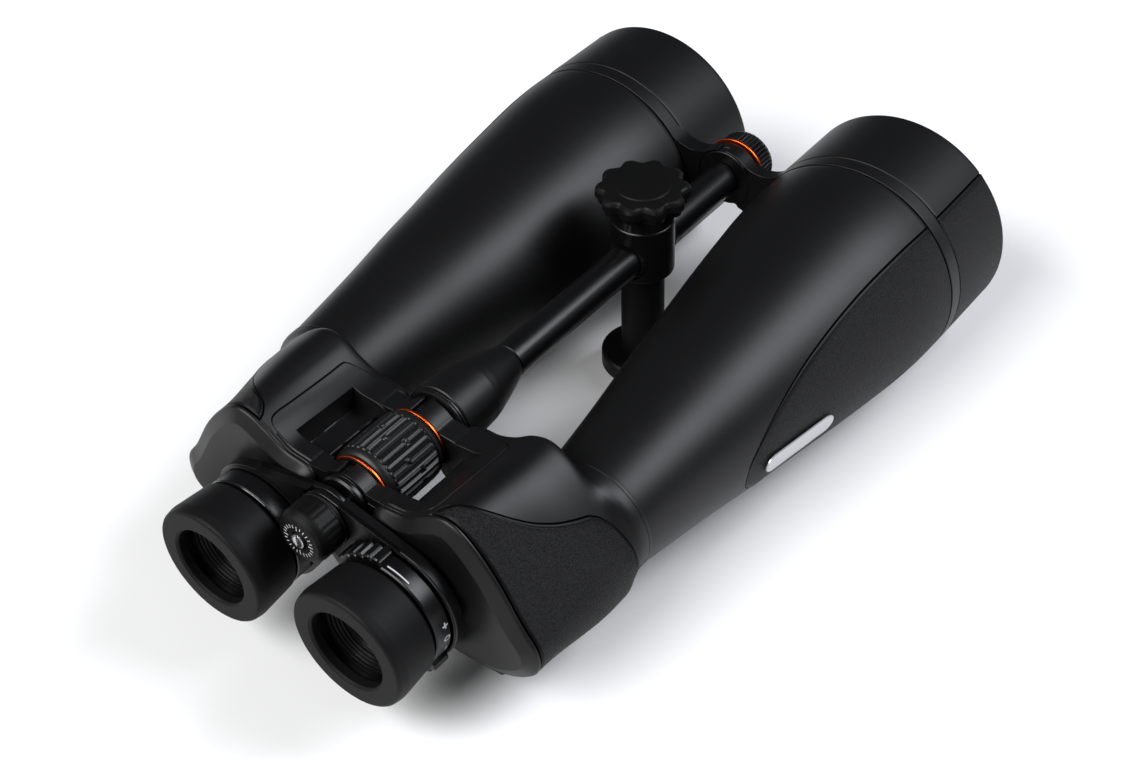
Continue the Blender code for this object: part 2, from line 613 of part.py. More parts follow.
def make_focus(mats):
    """Focus wheel with its coloured rings, and the spindle with the scale cap that it drives."""
    wheel_axis = axis_empty("wheel_axis", 0.0, 64.0, HINGE_Z)
    start, end = WHEEL_Y
    wheel = [(start, SHAFT_BORE), (start, 13.7), (53.0, 14.8), (64.0, WHEEL_R), (75.0, 14.8), (end, 13.7),
             (end, SHAFT_BORE)]
    tube("focus_wheel", wheel, HINGE, mats["metal"], wheel_axis, 48, wheel_flutes)
    for name, place in (("rear_wheel_ring", 48.2), ("front_wheel_ring", end + GAP)):
        bore = SHAFT_BORE + 4.0
        ring = [(place, bore), (place, RING_R), (place + 1.1, RING_R), (place + 1.1, bore)]
        tube(name, ring, HINGE, mats["orange"], wheel_axis, COARSE)
    spindle_axis = axis_empty("spindle_axis", 0.0, 30.0, HINGE_Z)
    solid("focus_spindle", [(17.5, 0.0), (17.5, SPINDLE_R), (74.0, SPINDLE_R), (74.0, 0.0)], HINGE,
          mats["steel"], spindle_axis, COARSE)
    scale_cap = [(15.5, 3.5), (15.5, 9.6), (17.0, 10.8), (29.1, 11.4), (29.1, 3.4), (17.2, 3.4), (17.2, 3.5)]
    tube("scale_cap", scale_cap, HINGE, mats["metal"], spindle_axis, COARSE)
    solid("cap_screw", [(14.9, 0.0), (14.9, 2.9), (17.1, 2.9), (17.1, 0.0)], HINGE, mats["steel"],
          spindle_axis, 16)


# Tripod post ------------------------------------------------------------------

def upright(name, profile, mat, parent, segments=COARSE, shape=None):
    """A piece turned about the post's vertical axis: profile of (height, radius) from axis to axis."""
    bm = spin_profile([(h, r) for h, r in profile], segments, False)
    if shape is not None:
        shape(bm)
    bmesh.ops.rotate(bm, cent=(0, 0, 0), matrix=Matrix.Rotation(math.radians(90.0), 3, "X"), verts=bm.verts)
    return finish(name, bm, mat, (0.0, POST_Y, 0.0), parent)


def knob_lobes(bm):
    """Ten soft lobes round the clamp knob."""
    for vert in bm.verts:
        radius = math.hypot(vert.co.x, vert.co.z)
        if radius < 14.0:
            continue
        wave = 0.5 - 0.5 * math.cos(10 * math.atan2(vert.co.z, vert.co.x))
        scale = (radius - 2.6 * wave) / radius
        vert.co.x *= scale
        vert.co.z *= scale


def make_post(mats):
    """Clamp on the rod, post with its foot, and the knob whose screw presses the shoe on the rod."""
    post_axis = axis_empty("post_axis", 0.0, POST_Y, HINGE_Z)
    bore = ROD_R + GAP
    liner = [(POST_Y - 12.0, bore), (POST_Y - 12.0, 8.8), (POST_Y + 12.0, 8.8), (POST_Y + 12.0, bore)]
    bushing = tube("clamp_bushing", liner, HINGE, mats["metal"], post_axis, COARSE)
    combine(bushing, upright_drum(0.0, POST_Y, 5.2, HINGE_Z, 90.0, 12), "DIFFERENCE")
    sides = [(57.2, 0.0), (57.2, 9.0), (58.6, 12.4), (62.0, 13.2), (83.0, 13.2), (84.6, 12.4), (84.6, 0.0)]
    body = upright("clamp_body", sides, mats["metal"], post_axis)
    combine(body, drum(HINGE, 9.1, 200.0, 250.0), "DIFFERENCE")
    combine(body, upright_drum(0.0, POST_Y, 4.2, 70.0, 95.0, 12), "DIFFERENCE")
    upright("post", [(14.4, 0.0), (14.4, 9.3), (56.9, 9.3), (56.9, 0.0)], mats["metal"], post_axis)
    upright("foot", [(6.0, 0.0), (6.0, 17.0), (7.0, 18.0), (13.0, 18.0), (14.1, 16.8), (14.1, 0.0)],
            mats["shell"], post_axis, 24)
    foot = bpy.data.objects["foot"]
    combine(foot, upright_drum(0.0, POST_Y, 3.2, 4.0, 12.0, 12), "DIFFERENCE")
    knob_axis = axis_empty("knob_axis", 0.0, POST_Y, 90.0)
    upright("pressure_shoe", [(76.6, 0.0), (76.6, 3.8), (79.2, 3.8), (79.2, 0.0)], mats["brass"], knob_axis)
    upright("clamp_knob", [(79.6, 0.0), (79.6, 3.6), (85.2, 3.6), (85.2, 13.4), (92.0, 14.0), (92.0, 19.2),
                           (98.4, 19.8), (100.2, 17.4), (101.1, 11.4), (101.1, 0.0)],
            mats["rubber"], knob_axis, 30, knob_lobes)


def main():
    clear_scene()
    mats = make_materials()
    make_centre(mats)
    make_focus(mats)
    make_post(mats)
    for side in (1, -1):
        make_half(side, mats)
        make_eyepiece(side, mats)


main()
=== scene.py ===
"""Large Porro binoculars on a pale studio floor: the looks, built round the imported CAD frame.

Shapes are worked out in millimetres. Stations run along the length from the eyecup rims, and
x and z are the row frame's. Angles round an optical axis start at the outer side and rise
towards the top.
"""
import math

import bmesh
import bpy
import numpy as np
from mathutils import Matrix, Vector


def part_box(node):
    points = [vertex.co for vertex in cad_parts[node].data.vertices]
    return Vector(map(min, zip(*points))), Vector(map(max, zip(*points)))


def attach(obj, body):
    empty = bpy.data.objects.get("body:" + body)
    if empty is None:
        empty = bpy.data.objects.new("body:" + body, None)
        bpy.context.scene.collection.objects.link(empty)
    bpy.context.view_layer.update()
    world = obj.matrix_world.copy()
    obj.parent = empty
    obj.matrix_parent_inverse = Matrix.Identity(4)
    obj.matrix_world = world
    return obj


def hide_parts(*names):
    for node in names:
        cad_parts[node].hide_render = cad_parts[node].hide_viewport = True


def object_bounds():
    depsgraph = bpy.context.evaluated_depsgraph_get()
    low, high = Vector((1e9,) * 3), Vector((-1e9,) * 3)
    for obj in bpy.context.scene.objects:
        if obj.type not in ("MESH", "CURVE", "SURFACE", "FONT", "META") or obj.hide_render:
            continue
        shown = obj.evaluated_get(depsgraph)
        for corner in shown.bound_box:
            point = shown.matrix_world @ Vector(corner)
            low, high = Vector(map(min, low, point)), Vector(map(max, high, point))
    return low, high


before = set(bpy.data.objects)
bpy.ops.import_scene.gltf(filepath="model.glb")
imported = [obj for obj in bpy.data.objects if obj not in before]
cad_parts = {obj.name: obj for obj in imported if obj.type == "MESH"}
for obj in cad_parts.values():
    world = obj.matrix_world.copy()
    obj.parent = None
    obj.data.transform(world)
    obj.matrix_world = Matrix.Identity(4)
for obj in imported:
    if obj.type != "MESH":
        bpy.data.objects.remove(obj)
CAD_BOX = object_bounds()

MM = 0.001
REAR = CAD_BOX[0].y


def axis_of(node):
    """The (x, z) centre of a turned CAD node, in millimetres."""
    low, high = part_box(node)
    return ((low.x + high.x) / 2 / MM, (low.z + high.z) / 2 / MM)


def upright_axis_of(node):
    """The (x, station) centre of a CAD node that is turned about a vertical axis."""
    low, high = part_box(node)
    return ((low.x + high.x) / 2 / MM, ((low.y + high.y) / 2 - REAR) / MM)


OBJECTIVE = axis_of("right_hood")
EYE = axis_of("right_eyecup")
HINGE = (0.0, axis_of("front_ring")[1])
POST = upright_axis_of("foot")
SIDES = {1: "right_", -1: "left_"}


def on_side(axis, side):
    """A right-hand axis, or its mirror image for the left half."""
    return (side * axis[0], axis[1])


# Materials --------------------------------------------------------------------

def add_node(tree, kind, **values):
    """A new shader node with its settings and its inputs' values."""
    node = tree.nodes.new(kind)
    for key, value in values.items():
        if key in node.inputs:
            node.inputs[key].default_value = value
        else:
            setattr(node, key, value)
    return node


def noise(tree, place, scale, detail=3.0, roughness=0.5):
    """A noise texture's value, from 0 to 1."""
    node = add_node(tree, "ShaderNodeTexNoise", Scale=scale, Detail=detail, Roughness=roughness)
    tree.links.new(place, node.inputs["Vector"])
    return node.outputs["Fac"]


def span(tree, value, low, high):
    """Map a 0 to 1 value to the range low to high."""
    node = add_node(tree, "ShaderNodeMapRange")
    node.inputs["To Min"].default_value = low
    node.inputs["To Max"].default_value = high
    tree.links.new(value, node.inputs["Value"])
    return node.outputs["Result"]


def maths(tree, operation, first, second):
    """A Math node on two sockets or numbers."""
    node = add_node(tree, "ShaderNodeMath", operation=operation)
    for value, socket in zip((first, second), node.inputs):
        if isinstance(value, (int, float)):
            socket.default_value = value
        else:
            tree.links.new(value, socket)
    return node.outputs["Value"]


def weighed_sum(tree, first, first_weight, second, second_weight):
    """Two values, each times its weight, added up."""
    return maths(tree, "ADD", maths(tree, "MULTIPLY", first, first_weight),
                 maths(tree, "MULTIPLY", second, second_weight))


def blend_colours(tree, share, first, second):
    """Go from one colour to another as the share goes from 0 to 1."""
    node = add_node(tree, "ShaderNodeMix", data_type="RGBA")
    tree.links.new(share, node.inputs["Factor"])
    ends = [socket for socket in node.inputs if socket.type == "RGBA"]
    for socket, colour in zip(ends, (first, second)):
        socket.default_value = (*colour, 1.0)
    return [out for out in node.outputs if out.type == "RGBA"][0]


def bump(tree, height, distance):
    """A normal from a 0 to 1 height that stands for a distance in metres."""
    node = add_node(tree, "ShaderNodeBump", Strength=1.0, Distance=distance)
    tree.links.new(height, node.inputs["Height"])
    return node.outputs["Normal"]


def new_material(name, metallic=0.0, specular=0.5, ior=1.5):
    """A material with its node tree, its shader and the object's own coordinates."""
    mat = bpy.data.materials.new(name)
    mat.use_nodes = True
    shader = mat.node_tree.nodes["Principled BSDF"]
    shader.inputs["Metallic"].default_value = metallic
    shader.inputs["Specular IOR Level"].default_value = specular
    shader.inputs["IOR"].default_value = ior
    place = add_node(mat.node_tree, "ShaderNodeTexCoord").outputs["Object"]
    return mat, mat.node_tree, shader, place


PATCH_SCALE = 35.0
PEBBLE_SCALE = 1500.0
FINE_GRAIN_SCALE = 3600.0
PEBBLE_DEPTH = 0.00055


def grained(name, dark, light, rough, grain_scale, grain_depth, **shading):
    """A moulded, painted or anodised finish: soft colour patches, uneven gloss and a fine grain."""
    mat, tree, shader, place = new_material(name, **shading)
    patches = noise(tree, place, PATCH_SCALE, 4.0, 0.6)
    grain = noise(tree, place, grain_scale, 2.0, 0.6)
    mixed = weighed_sum(tree, patches, 0.65, grain, 0.35)
    tree.links.new(blend_colours(tree, mixed, dark, light), shader.inputs["Base Color"])
    tree.links.new(span(tree, mixed, *rough), shader.inputs["Roughness"])
    tree.links.new(bump(tree, grain, grain_depth), shader.inputs["Normal"])
    return mat


def pebbled(name, dark, light, rough):
    """Armour rubber: fine rounded pebbles that fade to smooth along each panel's border, coloured by their
    height: painted highlights on the tops and painted shade between them.
    """
    mat, tree, shader, place = new_material(name, specular=0.13)
    cells = add_node(tree, "ShaderNodeTexVoronoi", feature="SMOOTH_F1", Scale=PEBBLE_SCALE, Smoothness=0.5)
    tree.links.new(place, cells.inputs["Vector"])
    fine = noise(tree, place, FINE_GRAIN_SCALE, 2.0, 0.6)
    pebble = maths(tree, "SUBTRACT", 1.0, maths(tree, "MULTIPLY", cells.outputs["Distance"], 1.3))
    texture = weighed_sum(tree, pebble, 0.65, fine, 0.7)
    inner = add_node(tree, "ShaderNodeAttribute", attribute_name="inner").outputs["Fac"]
    height = maths(tree, "MULTIPLY", texture, inner)
    # The colour follows the pebbles' height: a painted highlight on each pebble top and painted shade in the
    # hollows, mixed with a fine random grain.
    painted_light_and_grain = maths(tree, "POWER", maths(tree, "MAXIMUM", height, 0.0), 2.2)
    tree.links.new(blend_colours(tree, painted_light_and_grain, dark, light), shader.inputs["Base Color"])
    tree.links.new(span(tree, painted_light_and_grain, *rough), shader.inputs["Roughness"])
    tree.links.new(bump(tree, height, PEBBLE_DEPTH), shader.inputs["Normal"])
    return mat


def coated_glass(name, tint, reflection, transmission):
    """Lens glass with a thin coloured coating that shows at a glance off the surface."""
    mat, tree, shader, place = new_material(name, specular=0.8, ior=1.6)
    shader.inputs["Specular Tint"].default_value = (*reflection, 1.0)
    shader.inputs["Transmission Weight"].default_value = transmission
    haze = noise(tree, place, 90.0, 3.0, 0.5)
    dark = tuple(c * 0.7 for c in tint)
    tree.links.new(blend_colours(tree, haze, dark, tint), shader.inputs["Base Color"])
    tree.links.new(span(tree, haze, 0.01, 0.04), shader.inputs["Roughness"])
    return mat


def grey(level, blue):
    """A neutral colour that is a little cooler where its blue is higher."""
    return (level, level, blue)


MATS = {
    "shell": grained("satin_black_shell", grey(0.0012, 0.0014), grey(0.0024, 0.0027), (0.39, 0.46),
                     3200.0, 0.00003, specular=0.24),
    "rubber": pebbled("pebbled_rubber", grey(0.0005, 0.0006), grey(0.019, 0.0205), (0.44, 0.58)),
    "eyecup_rubber": grained("matt_eyecup_rubber", grey(0.0018, 0.0020), grey(0.0040, 0.0044), (0.48, 0.60),
                             2400.0, 0.00005, specular=0.11),
    "black_metal": grained("black_anodised", grey(0.0012, 0.0014), grey(0.0022, 0.0025), (0.26, 0.38),
                           2600.0, 0.00002, specular=0.24),
    "polished": grained("polished_black", grey(0.002, 0.0023), grey(0.004, 0.0044), (0.10, 0.16),
                        1800.0, 0.00001, specular=0.60),
    "wheel": grained("wheel_rubber", grey(0.0022, 0.0025), grey(0.0042, 0.0046), (0.36, 0.48),
                     2600.0, 0.00003, specular=0.30),
    "knob": grained("matt_knob_plastic", grey(0.0008, 0.0008), grey(0.0018, 0.0019), (0.44, 0.56),
                    2400.0, 0.00004, specular=0.14),
    "orange": grained("orange_anodised", (0.72, 0.085, 0.012), (0.84, 0.125, 0.022), (0.26, 0.34),
                      700.0, 0.000004, metallic=1.0),
    "silver": grained("brushed_silver", grey(0.46, 0.48), grey(0.60, 0.62), (0.34, 0.46),
                      2200.0, 0.00002, metallic=1.0),
    "steel": grained("plain_steel", grey(0.42, 0.43), grey(0.56, 0.57), (0.25, 0.40),
                     2000.0, 0.00002, metallic=1.0),
    "brass": grained("turned_brass", (0.50, 0.34, 0.13), (0.66, 0.47, 0.20), (0.25, 0.42),
                     1800.0, 0.00002, metallic=1.0),
    "baffle": grained("matt_black_baffle", grey(0.0007, 0.0007), grey(0.0014, 0.0014), (0.50, 0.70),
                      2600.0, 0.00004, specular=0.12),
    "mark": grained("white_marking", grey(0.34, 0.36), grey(0.48, 0.50), (0.45, 0.60),
                    2400.0, 0.00001),
    "eye_glass": coated_glass("magenta_coated_glass", (0.10, 0.018, 0.045), (1.0, 0.35, 0.62), 0.35),
    "objective_glass": coated_glass("green_coated_glass", (0.03, 0.05, 0.05), (0.45, 1.0, 0.72), 0.55),
    "prism_glass": coated_glass("prism_glass", (0.85, 0.90, 0.90), (1.0, 1.0, 1.0), 0.95),
}
CAD_LOOKS = {
    "eye_lens": "eye_glass", "field_lens": "eye_glass", "objective_lens": "objective_glass",
    "rear_prism": "prism_glass", "front_prism": "prism_glass", "objective_cell": "baffle",
    "retaining_ring": "black_metal", "focus_spindle": "steel", "clamp_bushing": "baffle",
    "pressure_shoe": "brass", "strap_lug": "shell",
}


# Making pieces ----------------------------------------------------------------

def ride(obj, body, nodes=()):
    """Put a finished piece on its CAD body, with the CAD nodes it stands for."""
    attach(obj, body)
    if nodes:
        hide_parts(*nodes)


def piece(name, verts, faces, mat, flip=False):
    """A smooth-shaded object from (x, station, z) points in millimetres."""
    mesh = bpy.data.meshes.new(name)
    points = [(x * MM, REAR + s * MM, z * MM) for x, s, z in verts]
    mesh.from_pydata(points, [], [tuple(reversed(f)) if flip else tuple(f) for f in faces])
    mesh.materials.append(MATS[mat])
    obj = bpy.data.objects.new(name, mesh)
    bpy.context.collection.objects.link(obj)
    return obj


def tidy_mesh(obj, sharp=38.0, closed=True):
    """Merge coincident points, face outwards and keep only the real edges crisp."""
    bm = bmesh.new()
    bm.from_mesh(obj.data)
    bmesh.ops.remove_doubles(bm, verts=bm.verts, dist=0.003 * MM)
    bmesh.ops.dissolve_degenerate(bm, edges=bm.edges, dist=0.001 * MM)
    if closed:
        bmesh.ops.recalc_face_normals(bm, faces=bm.faces)
    bm.to_mesh(obj.data)
    bm.free()
    obj.data.shade_smooth()
    obj.data.set_sharp_from_angle(angle=math.radians(sharp))


def weigh_normals(obj):
    """Shade the broad faces flat, up to the crisp edges."""
    modifier = obj.modifiers.new("weighted_normals", "WEIGHTED_NORMAL")
    modifier.keep_sharp = True
    modifier.weight = 80


def bevel_edges(obj, width, angle=30.0):
    """Round the edges that are sharper than an angle in degrees."""
    modifier = obj.modifiers.new("bevel", "BEVEL")
    modifier.width = width * MM
    modifier.segments = 3
    modifier.limit_method = "ANGLE"
    modifier.angle_limit = math.radians(angle)
    modifier.harden_normals = True


def thicken(obj, thickness):
    """Give an open skin a wall inwards, so that it is a closed body."""
    modifier = obj.modifiers.new("wall", "SOLIDIFY")
    modifier.thickness = thickness * MM
    modifier.offset = -1.0
    modifier.use_even_offset = False


def grid_faces(rows, columns, wrap=False, ring=False):
    """Quads over a grid of points. wrap joins each row's ends, and ring joins the last row to the first."""
    faces = []
    for i in range(rows if ring else rows - 1):
        here, there = i * columns, (i + 1) % rows * columns
        for k in range(columns if wrap else columns - 1):
            m = (k + 1) % columns
            faces.append((here + k, here + m, there + m, there + k))
    return faces


CORNER_STEPS = 4


def soften(points, radius, closed):
    """Round the corners of a flat polyline. A third number on a point is its own radius."""
    count = len(points)
    result = []
    for i, point in enumerate(points):
        here = Vector(point[:2])
        own = point[2] if len(point) > 2 else radius
        ends = not closed and i in (0, count - 1)
        if ends or own <= 0.0:
            result.append(here)
            continue
        back = Vector(points[i - 1][:2]) - here
        ahead = Vector(points[(i + 1) % count][:2]) - here
        turn = math.pi - back.angle(ahead)
        reach = min(own * math.tan(turn / 2), back.length * 0.45, ahead.length * 0.45)
        start = here + back.normalized() * reach
        end = here + ahead.normalized() * reach
        for step in range(CORNER_STEPS + 1):
            t = step / CORNER_STEPS
            result.append(start * (1 - t) ** 2 + here * 2 * t * (1 - t) + end * t ** 2)
    return result


def turn(name, profile, axis, mat, radius=0.35, segments=128, closed=True, shape=None, upright=False):
    """A turned piece. The profile is (station or height, radius) points; an open one ends on the axis.

    shape(angle, radius, station) may change a point's radius. Angles start at +X and rise to +Z.
    """
    points = soften(profile, radius, closed)
    verts = []
    for point in points:
        for k in range(segments):
            angle = 2 * math.pi * k / segments
            r = max(point[1], 0.0)
            if shape is not None:
                r = shape(angle, r, point[0])
            a, b = r * math.cos(angle), r * math.sin(angle)
            if upright:
                verts.append((axis[0] + a, axis[1] + b, point[0]))
            else:
                verts.append((axis[0] + a, point[0], axis[1] + b))
    obj = piece(name, verts, grid_faces(len(points), segments, wrap=True, ring=closed), mat)
    tidy_mesh(obj)
    weigh_normals(obj)
    return obj


def plate(name, outline, start, end, mat, bevel=0.5):
    """A flat (x, z) outline drawn out along the length from one station to another, with soft edges."""
    count = len(outline)
    verts = [(p[0], start, p[1]) for p in outline] + [(p[0], end, p[1]) for p in outline]
    faces = [tuple(range(count)), tuple(range(2 * count - 1, count - 1, -1))]
    faces += [(k, (k + 1) % count, count + (k + 1) % count, count + k) for k in range(count)]
    obj = piece(name, verts, faces, mat)
    tidy_mesh(obj)
    bevel_edges(obj, bevel, 40.0)
    return obj


def bake_modifiers(obj):
    """Replace the mesh by what its modifiers make of it."""
    bpy.context.view_layer.update()
    evaluated = obj.evaluated_get(bpy.context.evaluated_depsgraph_get())
    mesh = bpy.data.meshes.new_from_object(evaluated)
    obj.modifiers.clear()
    obj.data = mesh


def subtract(obj, *cutters):
    """Cut closed helper bodies out of a piece, then throw the helpers away."""
    for cutter in cutters:
        cutter.modifiers.clear()
        modifier = obj.modifiers.new("cut", "BOOLEAN")
        modifier.object = cutter
        modifier.operation = "DIFFERENCE"
        modifier.solver = "EXACT"
        bake_modifiers(obj)
        bpy.data.objects.remove(cutter, do_unlink=True)
    obj.data.set_sharp_from_angle(angle=math.radians(38.0))


def carve(obj, bevel, *cutters):
    """Cut a plate before its edges are softened, and soften those of the result."""
    obj.modifiers.clear()
    subtract(obj, *cutters)
    bevel_edges(obj, bevel)


def smooth_between(x, xs, ys):
    """Cubic curve through (xs, ys) at the places x, flat or monotone enough for outlines."""
    xs = np.asarray(xs, float)
    ys = np.asarray(ys, float)
    slopes = np.gradient(ys, xs)
    x = np.clip(x, xs[0], xs[-1])
    i = np.clip(np.searchsorted(xs, x) - 1, 0, len(xs) - 2)
    width = xs[i + 1] - xs[i]
    t = (x - xs[i]) / width
    return (ys[i] * (1 + 2 * t) * (1 - t) ** 2 + slopes[i] * width * t * (1 - t) ** 2
            + ys[i + 1] * t * t * (3 - 2 * t) + slopes[i + 1] * width * t * t * (t - 1))


def arc(centre, radius, start, end, steps):
    """Points on a circle from one angle to another, in degrees."""
    return [(centre[0] + radius * math.cos(math.radians(a)), centre[1] + radius * math.sin(math.radians(a)))
            for a in np.linspace(start, end, steps)]


def round_room(centre, radius, low, high, steps=48):
    """A round helper body to cut away, from one station to another."""
    return plate("room", arc(centre, radius, 0.0, 352.5, steps), low, high, "black_metal")


def mirror(points, side):
    """Flat points of the right half, mirrored for the left one."""
    return [(side * x, z) for x, z in points]


def mark_inner(obj, values):
    """Store for each point how far it is inside its panel's border, from 0 to 1."""
    attribute = obj.data.attributes.new("inner", "FLOAT", "POINT")
    attribute.data.foreach_set("value", np.asarray(values, np.float32).ravel())


def skin(name, points, mat, side, wall, inner=None):
    """A thick skin over a grid of points built for the right half, mirrored for the left one."""
    grid = np.array(points, float)
    rows, columns = grid.shape[:2]
    grid[..., 0] *= side
    obj = piece(name, grid.reshape(-1, 3), grid_faces(rows, columns), mat, flip=side < 0)
    if inner is not None:
        mark_inner(obj, inner)
    tidy_mesh(obj, 50.0, closed=False)
    thicken(obj, wall)
    return obj


# Barrels and hoods ------------------------------------------------------------

# (station, radius) along the barrel, and (station, half width in degrees) along its rubber panel
BARREL = ((100.8, 25.0), (140.0, 30.6), (165.0, 34.8), (190.0, 38.4), (215.0, 42.2), (240.0, 45.6),
          (262.0, 48.1), (275.0, 48.8), (284.3, 48.9))
PANEL_TIP = 154.0             # station where the barrel's rubber panel begins
PANEL_MIDDLE = -8.0           # degrees round the objective axis
PANEL_HALF = ((154.0, 0.0), (154.15, 3.5), (154.7, 7.5), (156.4, 13.0), (159.4, 18.3), (162.9, 23.3),
              (166.4, 27.2), (170.6, 31.0), (178.0, 36.4), (192.0, 43.9), (210.0, 49.7), (228.0, 53.0),
              (263.0, 55.0), (284.3, 54.5), (331.0, 54.8))
GROOVE_HALF = 0.42
GROOVE_DEPTH = 0.55
LIP_HEIGHT = 0.16


def barrel_radius(station):
    """The barrel's outer radius at a station."""
    return smooth_between(np.asarray(station, float), *zip(*BARREL))


def panel_half(station):
    """Half the rubber panel's width at a station, in degrees."""
    return smooth_between(np.asarray(station, float), *zip(*PANEL_HALF))


def ring_points(station, radius, angles):
    """A row of points round the right objective axis."""
    a = np.radians(angles)
    r = np.broadcast_to(radius, a.shape)
    x, z = OBJECTIVE[0] + r * np.cos(a), OBJECTIVE[1] + r * np.sin(a)
    return np.stack([x, np.full(a.shape, float(station)), z], -1)


def smooth_row(station, radius):
    """The shell's part of one ring: from the panel's upper edge over the top round to its lower edge."""
    half = float(panel_half(station)) if station > PANEL_TIP else 0.0
    ease = min(max(station - PANEL_TIP, 0.0), 1.0)
    step = math.degrees(GROOVE_HALF / radius) * ease
    upper, lower = PANEL_MIDDLE + half, PANEL_MIDDLE - half + 360.0
    angles = np.concatenate([[upper], np.linspace(upper + step, lower - step, 132), [lower]])
    radii = np.full(angles.shape, radius)
    radii[0] -= GROOVE_DEPTH * ease
    radii[-1] -= GROOVE_DEPTH * ease
    return ring_points(station, radii[::-1], angles[::-1])


def panel_row(station, radius, sunk):
    """The panel's part of one ring, with a smooth raised lip inside its groove."""
    half = float(panel_half(station))
    lip = np.array([0.0, 0.45, 0.8, 2.1, 2.6])
    upper = PANEL_MIDDLE + half - np.degrees(lip / radius)
    lower = PANEL_MIDDLE - half + np.degrees(lip / radius)
    lift = np.array([-GROOVE_DEPTH, 0.02, LIP_HEIGHT, LIP_HEIGHT, 0.0])
    narrow = 3.2
    if half < math.degrees(narrow / radius):
        upper = PANEL_MIDDLE + half * (1 - lip / narrow)
        lower = PANEL_MIDDLE - half * (1 - lip / narrow)
    angles = np.concatenate([upper, np.linspace(upper[-1], lower[-1], 62)[1:-1], lower[::-1]])
    lifts = np.concatenate([lift, np.zeros(60), lift[::-1]])
    inner = np.concatenate([[0, 0, 0, 0, 0.3], np.ones(60), [0.3, 0, 0, 0, 0]])
    if sunk:
        lifts = np.full(lifts.shape, -GROOVE_DEPTH)
        inner = np.zeros(inner.shape)
    return ring_points(station, radius + lifts, angles), inner


def armour_skin(name, made, side, wall):
    """A rubber skin from panel rows, each with its points and how far inside the border they are."""
    points, inner = zip(*made)
    return skin(name, points, "rubber", side, wall, inner)


def make_barrel(side):
    """Conical barrel with its armour panel let into the outer side."""
    prefix = SIDES[side]
    body = prefix + "half"
    stations = np.concatenate([np.linspace(101.5, 153.5, 24), np.linspace(154.0, 158.0, 17),
                               np.linspace(158.6, 283.7, 84)])
    rows = [smooth_row(100.8, 22.0), smooth_row(100.8, 24.6), smooth_row(101.0, 24.95)]
    rows += [smooth_row(s, float(barrel_radius(s))) for s in stations]
    rows += [smooth_row(284.15, 48.75), smooth_row(284.3, 48.45), smooth_row(284.3, 45.5)]
    shell = skin(prefix + "barrel_shell", rows, "shell", side, 2.0)
    ride(shell, body, [prefix + "barrel"])

    panel_stations = [s for s in stations if s > PANEL_TIP + 0.1]
    made = [panel_row(panel_stations[0], float(barrel_radius(panel_stations[0])), True)]
    made += [panel_row(s, float(barrel_radius(s)), False) for s in panel_stations[1:]]
    made += [panel_row(284.15, 48.75, False), panel_row(284.3, 48.4, False)]
    grip = armour_skin(prefix + "barrel_armour", made, side, 1.0)
    ride(grip, body, [prefix + "barrel_grip"])
    bore_profile = [(92.0, 20.0), (190.0, 35.4), (262.0, 43.0), (314.0, 43.0), (314.0, 46.0), (262.0, 45.0),
                    (190.0, 36.6), (102.0, 22.0), (92.0, 22.0)]
    axis = on_side(OBJECTIVE, side)
    ride(turn(prefix + "barrel_bore", bore_profile, axis, "baffle", 0.3, 96), body)


def make_hood(side):
    """Hood with the armour panel carried on over its outer side."""
    prefix = SIDES[side]
    body = prefix + "half"
    outer = [(291.8, 48.55), (291.9, 48.8), (292.15, 48.97)]
    outer += [(s, 49.0) for s in np.linspace(292.6, 329.6, 26)]
    outer += [(330.2, 48.93), (330.7, 48.7), (330.95, 48.35), (331.0, 47.9), (331.0, 47.3), (330.8, 46.9),
              (330.2, 46.6), (329.4, 46.45)]
    rows = [smooth_row(291.8, 46.5)] + [smooth_row(s, r) for s, r in outer]
    hood = skin(prefix + "hood_shell", rows, "shell", side, 0.4)
    ride(hood, body, [prefix + "hood"])
    made = [panel_row(s, r, False) for s, r in outer]
    ride(armour_skin(prefix + "hood_armour", made, side, 0.4), body)
    axis = on_side(OBJECTIVE, side)
    ridges = []
    for s in np.arange(308.0, 329.0, 1.5):
        ridges += [(s, 46.35), (s + 0.5, 45.9)]
    liner = [(292.0, 46.9)] + [(292.0, 45.2), (307.5, 45.2)] + ridges + [(329.3, 46.45), (329.3, 47.2)]
    ride(turn(prefix + "hood_liner", liner, axis, "baffle", 0.1, 128), body)


SADDLE_EDGE = {1: 89.0, -1: 72.0}    # degrees round the hinge where each half's cover over the hub stops


def fillet_between(first, second, radius, upper):
    """The concave arc of a given radius that touches two circles (x, z, r), from the first to the second."""
    a, b = Vector(first[:2]), Vector(second[:2])
    ra, rb = first[2] + radius, second[2] + radius
    gap = b - a
    along = (ra * ra - rb * rb + gap.length ** 2) / (2 * gap.length)
    height = math.sqrt(max(ra * ra - along * along, 0.0))
    normal = Vector((-gap.y, gap.x)).normalized()
    if (normal.y > 0) != upper:
        normal = -normal
    centre = a + gap.normalized() * along + normal * height
    start = (a - centre).angle_signed(Vector((1, 0)))
    end = (b - centre).angle_signed(Vector((1, 0)))
    if end - start > math.pi:
        end -= 2 * math.pi
    if start - end > math.pi:
        end += 2 * math.pi
    return arc(centre, radius, math.degrees(start), math.degrees(end), 18)


def bridge_outline(side, knuckle, top_radius, bottom_radius, band):
    """Outline of a front bridge arm: the knuckle, two concave flanks and an end inside the band."""
    hub = (*HINGE, knuckle)
    ring = (*OBJECTIVE, band)
    top = fillet_between(ring, hub, top_radius, True)
    bottom = fillet_between(hub, ring, bottom_radius, False)
    start = math.degrees(math.atan2(top[-1][1] - HINGE[1], top[-1][0]))
    end = math.degrees(math.atan2(bottom[0][1] - HINGE[1], bottom[0][0]))
    while end < start:
        end += 360.0
    round_hub = arc(HINGE, knuckle, start, end, 40)
    inside = [(p[0] + 1.3, p[1] - 0.4) for p in (bottom[-1], top[0])]
    return mirror(top + round_hub[1:-1] + bottom + inside, side)


